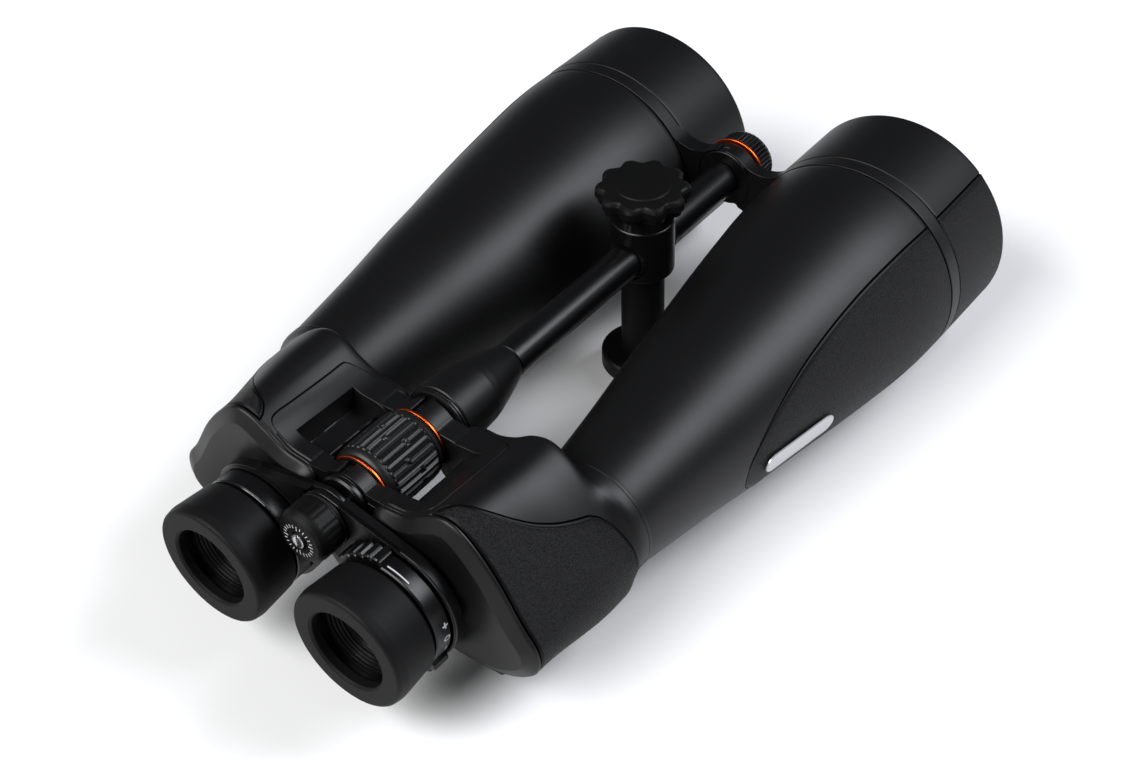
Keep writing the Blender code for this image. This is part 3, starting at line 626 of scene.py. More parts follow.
def hub_wedge(side, start, end, radius, low, high):
    """Slice round the hinge axis that is cut away so that the two halves can fold."""
    outline = mirror([HINGE] + arc(HINGE, radius, start, end, 40), side)
    return plate("fold_room", outline, low, high, "black_metal")


def make_bridge(side):
    """Front bridge: the band round the barrel's end and the arm to the fold hinge."""
    prefix = SIDES[side]
    body = prefix + "half"
    axis = on_side(OBJECTIVE, side)
    band = [(284.9, 46.4, 0.2), (284.9, 49.0), (291.5, 49.0), (291.5, 46.4, 0.2)]
    ride(turn(prefix + "bridge_band", band, axis, "shell", 0.45, 160), body,
         [prefix + "front_bridge"])
    slot = (285.2, 289.2) if side > 0 else (289.6, 293.6)
    boss = [(slot[0] - 0.2, 5.7), (slot[0] - 0.2, 13.0, 0.9), (slot[1], 13.0), (slot[1], 5.7)]
    ride(turn(prefix + "bridge_boss", boss, HINGE, "black_metal", 0.5, 128), body)
    thin = bridge_outline(side, 13.0, 17.0, 10.0, 48.6)
    arm = plate(prefix + "bridge_arm", thin, slot[0], slot[1], "black_metal", 0.7)
    ride(arm, body)
    wide = bridge_outline(side, 13.9, 16.0, 10.5, 48.6)
    web = plate(prefix + "bridge_web", wide, 285.1, 291.4, "black_metal", 0.7)
    carve(web, 0.6, round_room(HINGE, 13.25, 270.0, 300.0),
          hub_wedge(side, SADDLE_EDGE[side], 300.0, 22.0, 270.0, 300.0))
    ride(web, body)


# Prism housings ---------------------------------------------------------------

# Right side, (x, z) clockwise from the hub, at the rear cover and towards the barrel
REAR_OUTLINE = np.array((
    (13.6, 71.0), (18.0, 75.9), (28.0, 77.6), (37.0, 83.0), (45.0, 87.0), (52.0, 87.0), (60.0, 81.5),
    (70.0, 69.5), (79.5, 53.5), (86.0, 44.0), (86.0, 34.5), (80.0, 27.5), (70.0, 22.5), (57.0, 20.5),
    (44.0, 20.5), (30.0, 21.5), (19.0, 26.5), (12.5, 37.0), (12.0, 50.0), (13.5, 60.0)))
FRONT_OUTLINE = np.array((
    (13.6, 70.5), (18.0, 75.7), (28.0, 77.0), (37.0, 81.0), (45.5, 86.5), (54.0, 88.0), (63.5, 83.0),
    (74.0, 72.5), (84.0, 58.5), (90.0, 47.5), (90.0, 35.0), (84.0, 25.5), (73.0, 18.5), (58.0, 16.0),
    (44.0, 16.5), (30.0, 18.5), (19.0, 25.0), (12.5, 36.0), (12.0, 49.0), (13.5, 59.0)))
HOUSING_REAR = 41.0           # stations of the housing's rear edge, its shoulder and the barrel's seam
HOUSING_BODY_END = 84.0
SEAM = 100.5
NECK_R = 25.4
PANEL_BOTTOM = 15.5           # outline number of the armour panel's lower edge
PANEL_FRONT = 1.62            # row number of the armour panel's front edge
POCKET = (49.5, 79.85)        # stations of the finger pocket
POCKET_SPAN = (-1.8, 2.37)    # outline numbers of the finger pocket
POCKET_FLOOR = 68.5           # height of the finger pocket's floor
BAY_R = 20.8                  # radius of the wheel's bay round the hinge
CUT_THROUGH = 1000.0          # pocket depth that reaches the floor everywhere
PLATE_REAR = 0.036            # row number of the plate's rear edge
PLATE_FRONT = 1.19            # row number of the plate's front edge
PLATE_COLUMN = 88             # column that lies in the plate's groove

# (row number, outline number) along the plate's edge and along the armour panel's upper edge
PLATE_EDGE = ((0.0, 2.7), (0.04, 2.7), (0.055, 2.95), (0.085, 3.17), (0.13, 3.28), (0.18, 3.31), (0.3, 3.31),
              (0.9, 3.33), (0.98, 3.33), (1.04, 3.27), (1.08, 3.08), (1.12, 2.75), (1.16, 2.2), (1.20, 1.4),
              (1.24, 0.6), (2.0, 0.6))
PANEL_TOP = ((0.0, 3.45), (0.10, 3.7), (0.17, 4.15), (0.20, 4.6), (0.26, 5.2), (0.35, 5.8), (0.47, 6.3),
             (0.63, 6.7), (0.86, 7.05), (1.0, 7.2), (1.25, 7.45), (1.42, 7.85), (1.52, 8.3), (1.58, 8.8),
             (1.62, 9.4), (2.0, 9.4))


def outline_at(share, t):
    """A closed Catmull-Rom curve through the blended outlines, at outline numbers t."""
    points = REAR_OUTLINE * (1 - share) + FRONT_OUTLINE * share
    count = len(points)
    t = np.asarray(t, float) % count
    i = np.floor(t).astype(int)
    f = (t - i)[..., None]
    p0, p1, p2, p3 = (points[(i + k) % count] for k in (-1, 0, 1, 2))
    return 0.5 * (2 * p1 + (p2 - p0) * f + (2 * p0 - 5 * p1 + 4 * p2 - p3) * f ** 2
                  + (3 * p1 - p0 - 3 * p2 + p3) * f ** 3)


def along_polyline(corners, distance):
    """Points at a distance along a polyline of shape (corner, item, 2), carried on straight past its ends."""
    legs = np.diff(corners, axis=0)
    lengths = np.maximum(np.linalg.norm(legs, axis=-1), 1e-6)
    result = corners[0] + legs[0] / lengths[0][..., None] * distance[..., None]
    passed = np.zeros(distance.shape)
    for k in range(1, len(legs)):
        passed = passed + lengths[k - 1]
        beyond = corners[k] + legs[k] / lengths[k][..., None] * (distance - passed)[..., None]
        result = np.where((distance > passed)[..., None], beyond, result)
    return result, lengths.sum(axis=0)


def rounded_along(corners, share, radius):
    """A point at a share of a polyline's length, with its corners rounded by averaging along it."""
    _, total = along_polyline(corners, np.zeros(corners.shape[1]))
    offsets = np.linspace(-1.0, 1.0, 9)
    weights = 1.0 - np.abs(offsets) * 0.8
    weights = weights / weights.sum()
    room = np.minimum(radius, total * 0.18)
    return sum(w * along_polyline(corners, share * total + o * room)[0] for o, w in zip(offsets, weights))


def housing_point(row, t):
    """The right housing's surface: row 0 to 1 runs along the body, 1 to 2 over the shoulder to the neck."""
    t = np.asarray(t, float)
    station = HOUSING_REAR + min(row, 1.0) * (HOUSING_BODY_END - HOUSING_REAR)
    ease = min((station - HOUSING_REAR) / 40.0, 1.0)
    flat = outline_at(ease * ease * (3 - 2 * ease), t)
    if row <= 1.0:
        return np.stack([flat[..., 0], np.full(t.shape, station), flat[..., 1]], -1)
    centre = np.array(OBJECTIVE)
    arms = flat - centre
    distance = np.linalg.norm(arms, axis=-1)
    inward = -arms / distance[..., None]
    depth = distance - NECK_R
    fade = np.exp(-np.abs(depth) / 7.0)
    zero = np.zeros(t.shape)
    corners = np.stack([
        np.stack([zero, zero + HOUSING_BODY_END], -1),
        np.stack([zero, 94.0 - 6.0 * fade], -1),
        np.stack([depth, 94.6 + 3.0 * fade], -1),
        np.stack([depth, zero + SEAM], -1)])
    path = rounded_along(corners, row - 1.0, 5.0)
    place = flat + inward * path[..., :1]
    return np.stack([place[..., 0], path[..., 1], place[..., 1]], -1)


def housing_normal(row, t):
    """Outward direction of the housing's surface, from small steps along both directions."""
    small_row, small_t = 0.004, 0.02
    t = np.asarray(t, float)
    low_row, high_row = max(row - small_row, 0.0), min(row + small_row, 2.0)
    along_row = housing_point(high_row, t) - housing_point(low_row, t)
    along_t = housing_point(row, t + small_t) - housing_point(row, t - small_t)
    normal = np.cross(along_t, along_row)
    return normal / np.maximum(np.linalg.norm(normal, axis=-1), 1e-9)[..., None]


def row_of(station):
    """The housing's row number at a station."""
    return (station - HOUSING_REAR) / (HOUSING_BODY_END - HOUSING_REAR)


def pocket_section(row, share):
    """(x, z) across the finger pocket and the wheel's bay, from the hub wall up to the plate."""
    hub_side, plate_side = housing_point(row, POCKET_SPAN)[:, (0, 2)]
    low_angle = math.degrees(math.asin((hub_side[1] - HINGE[1]) / BAY_R))
    floor_angle = math.degrees(math.asin((POCKET_FLOOR - HINGE[1]) / BAY_R))
    bay = arc(HINGE, BAY_R, low_angle, floor_angle, 14)
    corners = [tuple(hub_side)] + bay + [(plate_side[0], POCKET_FLOOR), tuple(plate_side)]
    spread = np.repeat(np.array(corners)[:, None, :], len(share), axis=1)
    return rounded_along(spread, share, 0.9)


def step_in_t(row, t, millimetres):
    """How far a length along the outline is, counted in outline numbers."""
    speed = np.linalg.norm(housing_point(row, t + 0.02) - housing_point(row, t - 0.02)) / 0.04
    return millimetres / max(speed, 0.5)


def housing_columns(row):
    """Outline numbers of the smooth shell's columns, with how deep each lies in a groove."""
    edge = float(smooth_between(np.array(row), *zip(*PLATE_EDGE)))
    top = float(smooth_between(np.array(row), *zip(*PANEL_TOP)))
    bottom = PANEL_BOTTOM - 20.0
    low_step = step_in_t(row, bottom, GROOVE_HALF)
    edge_step = step_in_t(row, edge, GROOVE_HALF)
    top_step = step_in_t(row, top, GROOVE_HALF)
    panel_here = 1.0 if row < PANEL_FRONT else 0.0
    plate_here = 1.0 if PLATE_REAR < row < PLATE_FRONT else 0.0
    start, end = POCKET_SPAN
    plate_side = min(end, edge - 0.3)
    columns = np.concatenate([
        [bottom], np.linspace(bottom + low_step, start, 24)[:-1], np.linspace(start, plate_side, 56)[:-1],
        np.linspace(plate_side, edge - edge_step, 9), [edge],
        np.linspace(edge + edge_step, top - top_step, 44), [top]])
    depth = np.zeros(columns.shape)
    depth[0] = depth[-1] = panel_here
    depth[PLATE_COLUMN] = plate_here
    if abs(row - PLATE_REAR) < 1e-6:
        depth[1:PLATE_COLUMN + 1] = 1.0
    return columns, depth


def housing_shell_row(row, pocket=0.0, inset=0.0):
    """Points across the smooth shell, moved up to pocket millimetres towards the finger pocket."""
    columns, depth = housing_columns(row)
    points = housing_point(row, columns)
    lift = -GROOVE_DEPTH * depth - inset
    points = points + housing_normal(row, columns) * lift[:, None]
    if pocket > 0.0:
        start, end = POCKET_SPAN
        share = (columns - start) / (end - start)
        inside = (share >= 0.0) & (share <= 1.0)
        flat = pocket_section(row, np.clip(share, 0.0, 1.0))
        target = np.stack([flat[:, 0], points[:, 1], flat[:, 1]], -1)
        gap = target - points
        length = np.maximum(np.linalg.norm(gap, axis=-1), 1e-6)
        moved = gap * np.minimum(1.0, pocket / length)[:, None]
        points = points + moved * inside[:, None]
    return points


def shell_rows():
    """Rows of the smooth shell: the body with the pocket's ends, then the shoulder."""
    rows = [housing_shell_row(0.0, inset=2.0), housing_shell_row(0.0, inset=0.35)]
    rows += [housing_shell_row(r) for r in
             (row_of(41.35), PLATE_REAR - 0.011, PLATE_REAR, PLATE_REAR + 0.011)]
    before = np.linspace(43.6, POCKET[0] - 0.35, 9)
    within = np.linspace(POCKET[0] + 0.4, POCKET[1] - 0.4, 26)
    after = np.linspace(POCKET[1] + 0.35, HOUSING_BODY_END, 5)
    rows += [housing_shell_row(row_of(s)) for s in before]
    rows += [housing_shell_row(row_of(s), p) for s, p in
             ((POCKET[0] - 0.1, 0.1), (POCKET[0], 0.35), (POCKET[0], CUT_THROUGH))]
    rows += [housing_shell_row(row_of(s), CUT_THROUGH) for s in within]
    rows += [housing_shell_row(row_of(s), p) for s, p in
             ((POCKET[1], CUT_THROUGH), (POCKET[1], 0.35), (POCKET[1] + 0.1, 0.1))]
    rows += [housing_shell_row(row_of(s)) for s in after]
    rows += [housing_shell_row(r) for r in np.linspace(1.02, 2.0, 50)]
    return rows + [housing_shell_row(2.0, inset=inset) for inset in (0.5, 2.5)]


def panel_grid():
    """Rows of the housing's armour panel: the points, and how far inside the border they are."""
    lip = np.array([0.0, GROOVE_HALF, 0.8, 2.0, 2.5])
    lift = np.array([-GROOVE_DEPTH, 0.0, LIP_HEIGHT, LIP_HEIGHT, 0.0])
    fractions = np.linspace(0.0, 1.0, 88)[1:-1]
    places = np.concatenate([[0.012, 0.03, 0.05], np.linspace(0.07, 1.0, 46),
                             np.linspace(1.03, PANEL_FRONT, 26)])
    last = len(places) - 1
    made = []
    for number, row in enumerate(places):
        top = float(smooth_between(np.array(row), *zip(*PANEL_TOP)))
        top_unit = step_in_t(row, top, 1.0)
        bottom_unit = step_in_t(row, PANEL_BOTTOM, 1.0)
        start, end = top + lip * top_unit, PANEL_BOTTOM - lip * bottom_unit
        columns = np.concatenate([start, start[-1] + (end[-1] - start[-1]) * fractions, end[::-1]])
        lifts = np.concatenate([lift, np.zeros(86), lift[::-1]])
        inner = np.concatenate([[0, 0, 0, 0, 0.4], np.ones(86), [0.4, 0, 0, 0, 0]])
        if number in (0, last):
            lifts, inner = np.full(lifts.shape, -GROOVE_DEPTH), inner * 0.0
        if number in (1, last - 1):
            inner = inner * 0.0
        points = housing_point(row, columns) + housing_normal(row, columns) * lifts[:, None]
        made.append((points, inner))
    return made


def skirt_rows():
    """The shell in front of the panel, from the groove at its front edge to the seam."""
    rows = []
    columns = np.linspace(9.4, PANEL_BOTTOM, 60)
    for number, row in enumerate([PANEL_FRONT, PANEL_FRONT + 0.026] + list(np.linspace(1.68, 2.0, 18))):
        lift = -GROOVE_DEPTH if number == 0 else 0.0
        rows.append(housing_point(row, columns) + housing_normal(row, columns) * lift)
    for inset in (0.5, 2.5):
        rows.append(housing_point(2.0, columns) - housing_normal(2.0, columns) * inset)
    return rows


def make_housing(side):
    """Prism housing: the smooth shell, its armour panel, the rear cover and the hinge knuckles."""
    prefix = SIDES[side]
    body = prefix + "half"
    shell = skin(prefix + "housing_shell", shell_rows(), "shell", side, 1.2)
    ride(shell, body, [prefix + "prism_housing"])
    seam = [(100.6, 22.0), (100.6, 25.45), (102.2, 25.5), (102.2, 22.0)]
    ride(turn(prefix + "neck_band", seam, on_side(OBJECTIVE, side), "shell", 0.3, 128), body)
    skirt = skin(prefix + "housing_skirt", skirt_rows(), "shell", side, 1.2)
    ride(skirt, body)
    armour = armour_skin(prefix + "housing_armour", panel_grid(), side, 0.9)
    ride(armour, body, [prefix + "housing_grip"])
    make_cover(side)
    make_yoke(side, "rear", (41.2, 49.3), (41.0, 44.2) if side > 0 else (44.6, 47.8))
    make_yoke(side, "front", (80.3, 90.0), (80.2, 83.6) if side > 0 else (84.0, 87.4))


def make_yoke(side, label, span, slot):
    """Hinge yoke: a saddle over the hub with its flat-topped web, and the knuckle underneath."""
    prefix = SIDES[side] + label
    body = SIDES[side] + "half"
    saddle_edge = SADDLE_EDGE[side]
    top = arc(HINGE, 12.3, saddle_edge, 41.0, 16)
    web = [(10.5, 76.4), (14.0, 76.1), (18.0, 75.9), (22.0, 74.8), (24.0, 62.0), (16.0, 50.0), (13.0, 52.0)]
    bottom = arc(HINGE, 12.3, -50.0, -60.0, 4)
    inside = arc(HINGE, 11.1, -60.0, saddle_edge, 36)
    saddle = plate(prefix + "_saddle", mirror(top + web + bottom + inside, side), *span, "shell")
    carve(saddle, 0.8, round_room(HINGE, 14.5, 48.0, 50.0))
    ride(saddle, body)
    knuckle = [(slot[0], 5.7), (slot[0], 10.8), (slot[1], 10.8), (slot[1], 5.7)]
    ride(turn(prefix + "_knuckle", knuckle, HINGE, "black_metal", 0.4, 96), body)
    strut = mirror(((9.6, 63.0), (9.9, 72.6), (15.0, 72.0), (15.0, 58.0)), side)
    ride(plate(prefix + "_strut", strut, *slot, "black_metal", 0.3), body)


def make_cover(side):
    """Rear cover: a flat face inside a broad bevel, with the hole for the eyepiece."""
    prefix = SIDES[side]
    t = np.linspace(0.0, 20.0, 200, endpoint=False)
    rim = outline_at(0.0, t)
    ahead = outline_at(0.0, t + 0.05) - outline_at(0.0, t - 0.05)
    outward = np.stack([-ahead[:, 1], ahead[:, 0]], -1)
    outward /= np.linalg.norm(outward, axis=-1)[:, None]
    arms = rim - np.array(EYE)
    arms /= np.linalg.norm(arms, axis=-1)[:, None]
    hole = np.array(EYE) + arms * 17.7
    hub_side = np.exp(-np.maximum(rim[:, 0] - 13.0, 0.0) / 9.0)[:, None]
    bevel = 5.4 * (1 - hub_side) + 1.6 * hub_side
    levels = [(hole, 40.7), (hole, 37.0), (hole + arms * 0.3, 36.65)]
    levels += [(rim - outward * inset, s) for inset, s in
               ((bevel + 0.3, 36.65), (bevel, 36.70), (bevel - 0.3, 36.85), (0.9, 39.1), (0.35, 39.5),
                (0.08, 39.9), (0.0, 40.3), (0.0, 40.7))]
    points = np.stack([np.stack([flat[:, 0] * side, np.full(len(t), s), flat[:, 1]], -1)
                       for flat, s in levels])
    faces = grid_faces(*points.shape[:2], wrap=True, ring=True)
    cover = piece(prefix + "cover_plate", points.reshape(-1, 3), faces, "shell")
    tidy_mesh(cover, 40.0)
    weigh_normals(cover)
    subtract(cover, round_room(HINGE, 13.6, 30.0, 50.0))
    ride(cover, prefix + "half", [prefix + "rear_cover"])


def stadium(half_length, half_width, around):
    """Points round a bar with round ends, as (along, across)."""
    points = []
    for k in range(around):
        a = 2 * math.pi * (k + 0.5) / around
        end = math.copysign(half_length - half_width, math.cos(a))
        points.append((end + half_width * math.cos(a), half_width * math.sin(a)))
    return points


def make_badge():
    """Blank narrow badge with round ends, in brushed metal with a raised rim."""
    middle, half_length, half_width, around = 183.8, 19.7, 4.4, 96
    levels = ((0.0, 0.0), (0.0, 0.45), (0.18, 0.62), (0.55, 0.64), (0.8, 0.48), (2.0, 0.48), (3.2, 0.48),
              (4.2, 0.48))
    verts = []
    for inset, lift in levels:
        for along, across in stadium(half_length - inset, half_width - inset, around):
            radius = float(barrel_radius(middle - along)) + 0.75 + lift
            angle = math.radians(-8.7) + across / radius
            x = OBJECTIVE[0] + radius * math.cos(angle)
            verts.append((x, middle - along, OBJECTIVE[1] + radius * math.sin(angle)))
    faces = grid_faces(len(levels), around, wrap=True) + [tuple(range(around))]
    last = (len(levels) - 1) * around
    faces.append(tuple(range(last + around - 1, last - 1, -1)))
    badge = piece("badge_plate", verts, faces, "silver")
    tidy_mesh(badge)
    weigh_normals(badge)
    ride(badge, "right_half", ["right_badge"])


# Eyepieces --------------------------------------------------------------------

def tangent_hull(first, second):
    """Outline round two circles (x, z, r) joined by their outer tangents, anticlockwise."""
    a, b = Vector(first[:2]), Vector(second[:2])
    gap = b - a
    heading = math.degrees(math.atan2(gap.y, gap.x))
    lean = math.degrees(math.acos((first[2] - second[2]) / gap.length))
    far = arc(b, second[2], heading - lean, heading + lean, 40)
    near = arc(a, first[2], heading + lean, heading + 360.0 - lean, 40)
    return far + near


def make_eye_arm(side):
    """Bridge arm that carries an eyepiece, clamped to the focus spindle at the hub."""
    prefix = SIDES[side]
    body = prefix + "arm"
    axis = on_side(EYE, side)
    ring = [(29.5, 18.9), (29.5, 24.2), (30.3, 25.2), (34.0, 25.2), (34.8, 24.4), (34.8, 18.9)]
    ride(turn(prefix + "arm_ring", ring, axis, "black_metal", 0.3, 128), body,
         [prefix + "eyepiece_arm"])
    hull = tangent_hull((*HINGE, 11.2), (*axis, 24.8))
    slot = (29.5, 32.0) if side > 0 else (32.3, 34.8)
    knuckle = plate(prefix + "arm_knuckle", hull, *slot, "black_metal", 0.5)
    bake_modifiers(knuckle)
    subtract(knuckle, round_room(axis, 19.5, 20.0, 50.0))
    ride(knuckle, body)
    web = plate(prefix + "arm_web", hull, 29.6, 34.7, "black_metal", 0.9)
    carve(web, 0.8, round_room(axis, 19.5, 20.0, 50.0), round_room(HINGE, 12.2, 20.0, 50.0),
          hub_wedge(side, 160.0, 283.0, 60.0, 20.0, 50.0))
    ride(web, body)


def make_eyecup(side):
    """Rubber eyecup on its twist sleeve, with the ribbed ocular and its lens inside."""
    prefix = SIDES[side]
    axis = on_side(EYE, side)
    cup = [(0.0, 17.4, 0.7), (0.0, 24.7, 1.9), (4.5, 25.4, 6.0), (19.2, 24.15, 0.5), (20.15, 23.6, 0.5),
           (20.15, 21.3, 0.2), (4.4, 21.3, 0.1), (4.4, 16.4, 0.3), (0.9, 16.4, 0.8)]
    ride(turn(prefix + "cup", cup, axis, "eyecup_rubber", 0.5, 160), prefix + "cup", [prefix + "eyecup"])
    sleeve = [(5.0, 19.1), (5.0, 20.8), (20.2, 20.8), (20.2, 19.1)]
    ride(turn(prefix + "sleeve", sleeve, axis, "black_metal", 0.2, 96), prefix + "sleeve",
         [prefix + "twist_sleeve"])
    steps = [(8.0, 16.1), (8.2, 15.4), (9.4, 15.2), (9.5, 14.6), (10.4, 14.4), (10.5, 13.8), (11.4, 13.6),
             (11.5, 13.0), (12.6, 12.8), (12.7, 11.2), (13.5, 10.9)]
    ocular = [(8.0, 18.7)] + steps + [(14.2, 10.9), (14.2, 12.4), (34.2, 15.0), (46.0, 15.0), (46.0, 17.2),
                                       (34.2, 17.2), (34.2, 18.7)]
    body = "right_ocular" if side > 0 else "left_arm"
    ride(turn(prefix + "ocular", ocular, axis, "black_metal", 0.12, 128), body,
         [prefix + "ocular_tube"])


MARK_R = 23.62                # radius of the dioptre collar where it is marked


def rib_wave(angle, middle, half, count):
    """A comb of round ribs over an angle range in degrees, from 0 in the grooves to 1 on the ribs."""
    offset = (math.degrees(angle) - middle + 180.0) % 360.0 - 180.0
    if abs(offset) > half:
        return None
    phase = (offset + half) / (2 * half) * count
    return 0.5 - 0.5 * math.cos(2 * math.pi * phase)


def make_collars():
    """The right dioptre ring with its two ribbed thumb pads, and the plain left collar."""

    def pads(angle, radius, station):
        if radius < 22.0:
            return radius
        for middle in (118.0, -62.0):
            wave = rib_wave(angle, middle, 27.0, 6)
            if wave is not None:
                return radius + 1.7 + 1.3 * min(1.0, 2.2 * wave)
        return radius

    axis = EYE
    ring = [(21.6, 19.1), (21.6, 23.0), (22.2, 23.55), (24.0, 23.6), (28.4, 23.6), (29.2, 23.0), (29.2, 19.1)]
    ride(turn("dioptre_collar", ring, axis, "black_metal", 0.25, 360, shape=pads), "right_dioptre",
         ["right_dioptre_ring"])
    index = [(23.4, 22.9), (23.4, 23.85), (23.85, 23.85), (23.85, 22.9)]
    ride(arc_strip("dioptre_index", index, axis, 62.0, 86.0, "mark"), "right_dioptre")
    other = on_side(EYE, -1)
    ride(turn("left_collar", ring, other, "black_metal", 0.25, 160), "left_arm", ["left_ocular_collar"])
    rim = [(21.5, 22.2), (21.5, 23.3), (21.95, 23.55), (21.95, 22.2)]
    ride(turn("left_collar_rim", rim, other, "polished", 0.1, 160), "left_arm")
    make_dioptre_marks()


def arc_strip(name, profile, axis, start, end, mat):
    """A short turned strip between two angles, closed at both ends."""
    angles = np.radians(np.linspace(start, end, 40))
    count = len(profile)
    verts = [(axis[0] + r * math.cos(a), s, axis[1] + r * math.sin(a)) for a in angles for s, r in profile]
    faces = grid_faces(len(angles), count, wrap=True)
    faces += [tuple(range(count)), tuple(range(len(verts) - count, len(verts)))]
    strip = piece(name, verts, faces, mat)
    tidy_mesh(strip)
    return strip


def add_box(verts, faces, corners):
    """Add a closed box of eight corners: four of one end, then the same four of the other."""
    base = len(verts)
    verts += corners
    faces += [tuple(base + i for i in face) for face in
              ((0, 1, 2, 3), (4, 5, 6, 7), (0, 1, 5, 4), (1, 2, 6, 5), (2, 3, 7, 6), (3, 0, 4, 7))]


def make_dioptre_marks():
    """Plus, nought and minus painted on the dioptre collar."""
    middle = 26.6
    levels = (MARK_R - 0.1, MARK_R + 0.05)

    def on_collar(radius, angle, offset):
        return (EYE[0] + radius * math.cos(angle), middle + offset, EYE[1] + radius * math.sin(angle))

    verts, faces = [], []
    for angle, across, along in ((11.0, 2.6, 0.6), (-19.0, 2.6, 0.6), (11.0, 0.6, 2.6)):
        a = math.radians(angle)
        half = across / 2 / MARK_R
        corners = ((-half, -along / 2), (half, -along / 2), (half, along / 2), (-half, along / 2))
        add_box(verts, faces, [on_collar(r, a + da, ds) for r in levels for da, ds in corners])
    around = 28
    base = len(verts)
    for r in levels:
        for scale in (1.0, 0.62):
            for k in range(around):
                b = 2 * math.pi * k / around
                a = math.radians(-4.0) + 1.2 * scale * math.cos(b) / MARK_R
                verts.append(on_collar(r, a, 1.6 * scale * math.sin(b)))
    low, low_in, high, high_in = (base + i * around for i in range(4))
    for k in range(around):
        m = (k + 1) % around
        faces += [(first + k, first + m, second + m, second + k) for first, second in
                  ((low, low_in), (high, high_in), (low, high), (low_in, high_in))]
    painted = piece("dioptre_marks", verts, faces, "mark")
    tidy_mesh(painted)
    ride(painted, "right_dioptre")


# Centre column ----------------------------------------------------------------

WHEEL_COLUMNS = 30
WHEEL_MIDDLE = 64.0
RIB_RECESS = 0.45


def stadium_height(across, along, half_width, low, high):
    """How much of a rib with round ends is under a point: 1 inside, 0 outside, with a soft edge."""
    middle = min(max(along, low + half_width), high - half_width)
    distance = math.hypot(across, along - middle) - half_width
    return min(max(0.5 - distance / 0.42, 0.0), 1.0)


def make_wheel():
    """Focus wheel: rows of ribs with round ends, long ones between pairs of short ones."""
    start, end = 49.6, 78.4
    low, high = 52.9, 75.3
    segments = WHEEL_COLUMNS * 14
    stations = np.linspace(low - 0.4, high + 0.4, 96)
    pitch = 2 * math.pi * 15.0 / WHEEL_COLUMNS

    def crown(station):
        return 15.15 - 0.7 * ((station - WHEEL_MIDDLE) / 14.0) ** 4

    profile = [(start, 5.6), (start, 13.3), (start + 0.2, 13.6), (50.5, 14.3), (51.6, 14.65)]
    profile += [(s, crown(s)) for s in stations]
    profile += [(end - 2.0, 14.65), (end - 1.0, 14.3), (end - 0.25, 13.6), (end, 13.2), (end, 5.6)]

    def ribs(angle, radius, station):
        if not low - 0.3 < station < high + 0.3:
            return radius
        column = angle / (2 * math.pi) * WHEEL_COLUMNS
        number = int(round(column)) % WHEEL_COLUMNS
        across = (column - round(column)) * pitch
        spans = ((low, high),)
        if number % 2:
            cut = WHEEL_MIDDLE + (2.2 if number % 4 == 1 else -2.2)
            spans = ((low, cut - 0.25), (cut + 0.25, high))
        outer = max(stadium_height(across, station, pitch / 2 - 0.17, a, b) for a, b in spans)
        inner = max(stadium_height(across, station, pitch / 2 - 0.72, a + 0.55, b - 0.55) for a, b in spans)
        return radius - 0.55 * (1 - outer) - RIB_RECESS * inner

    wheel = turn("wheel_body", profile, HINGE, "wheel", 0.0, segments, shape=ribs)
    ride(wheel, "wheel", ["focus_wheel"])
    for label, place in (("rear", 48.2), ("front", 78.7)):
        ring = [(place + 0.1, 12.9), (place + 0.1, 13.6), (place + 0.95, 13.6), (place + 0.95, 12.9)]
        ride(turn(label + "_orange_ring", ring, HINGE, "orange", 0.25, 128), "wheel",
             [label + "_wheel_ring"])
        washer = [(place, 9.6), (place, 12.88), (place + 1.1, 12.88), (place + 1.1, 9.6)]
        ride(turn(label + "_ring_washer", washer, HINGE, "black_metal", 0.2, 96), "wheel")


def make_column():
    """Hub spacer, cone sleeve, rod, front ring and cap: the pieces that stay with the spine."""
    spine = "spine"
    spacer = [(87.8, 5.6), (87.8, 10.7), (90.2, 10.7), (90.2, 13.6), (90.6, 14.3), (91.1, 14.4), (91.3, 13.9),
              (91.6, 13.9), (91.8, 14.4), (92.6, 14.4), (92.6, 5.6)]
    ride(turn("column_spacer", spacer, HINGE, "black_metal", 0.12, 128), spine, ["hub_spacer"])
    cone = [(93.0, 5.6), (93.0, 14.2), (93.5, 14.7), (104.0, 14.15), (111.5, 13.65), (115.0, 12.95),
            (119.0, 11.85), (123.0, 10.75), (127.0, 9.55), (130.5, 8.4), (132.6, 7.7), (133.0, 7.3),
            (133.0, 5.6)]
    ride(turn("cone", cone, HINGE, "shell", 0.25, 128), spine, ["cone_sleeve"])
    rod = [(82.0, 0.0), (82.0, 3.4), (38.4, 3.4), (38.4, 10.2), (39.2, 11.0), (40.7, 11.0), (40.7, 5.2),
           (133.3, 5.2), (133.3, 7.1), (133.6, 7.5), (284.4, 7.5), (284.7, 7.2), (284.7, 5.2), (300.0, 5.2),
           (300.0, 0.0)]
    ride(turn("rod", rod, HINGE, "black_metal", 0.1, 96, closed=False), spine, ["hinge_rod"])
    ring = [(294.2, 5.6), (294.2, 14.1), (295.3, 14.1), (295.3, 5.6)]
    ride(turn("front_orange_band", ring, HINGE, "orange", 0.4, 128), spine, ["front_ring"])

    def ribs(angle, radius, station):
        if radius < 12.4:
            return radius
        return radius - 0.55 * (0.5 - 0.5 * math.cos(40 * angle)) ** 2

    cap = [(300.4, 0.0), (300.4, 5.6), (296.0, 5.6), (296.0, 12.3), (296.5, 13.0), (303.6, 13.0),
           (305.2, 12.3), (306.0, 11.0), (306.0, 6.4), (305.6, 6.1), (305.6, 0.0)]
    ride(turn("column_cap", cap, HINGE, "black_metal", 0.2, 320, closed=False, shape=ribs), spine,
         ["front_cap"])


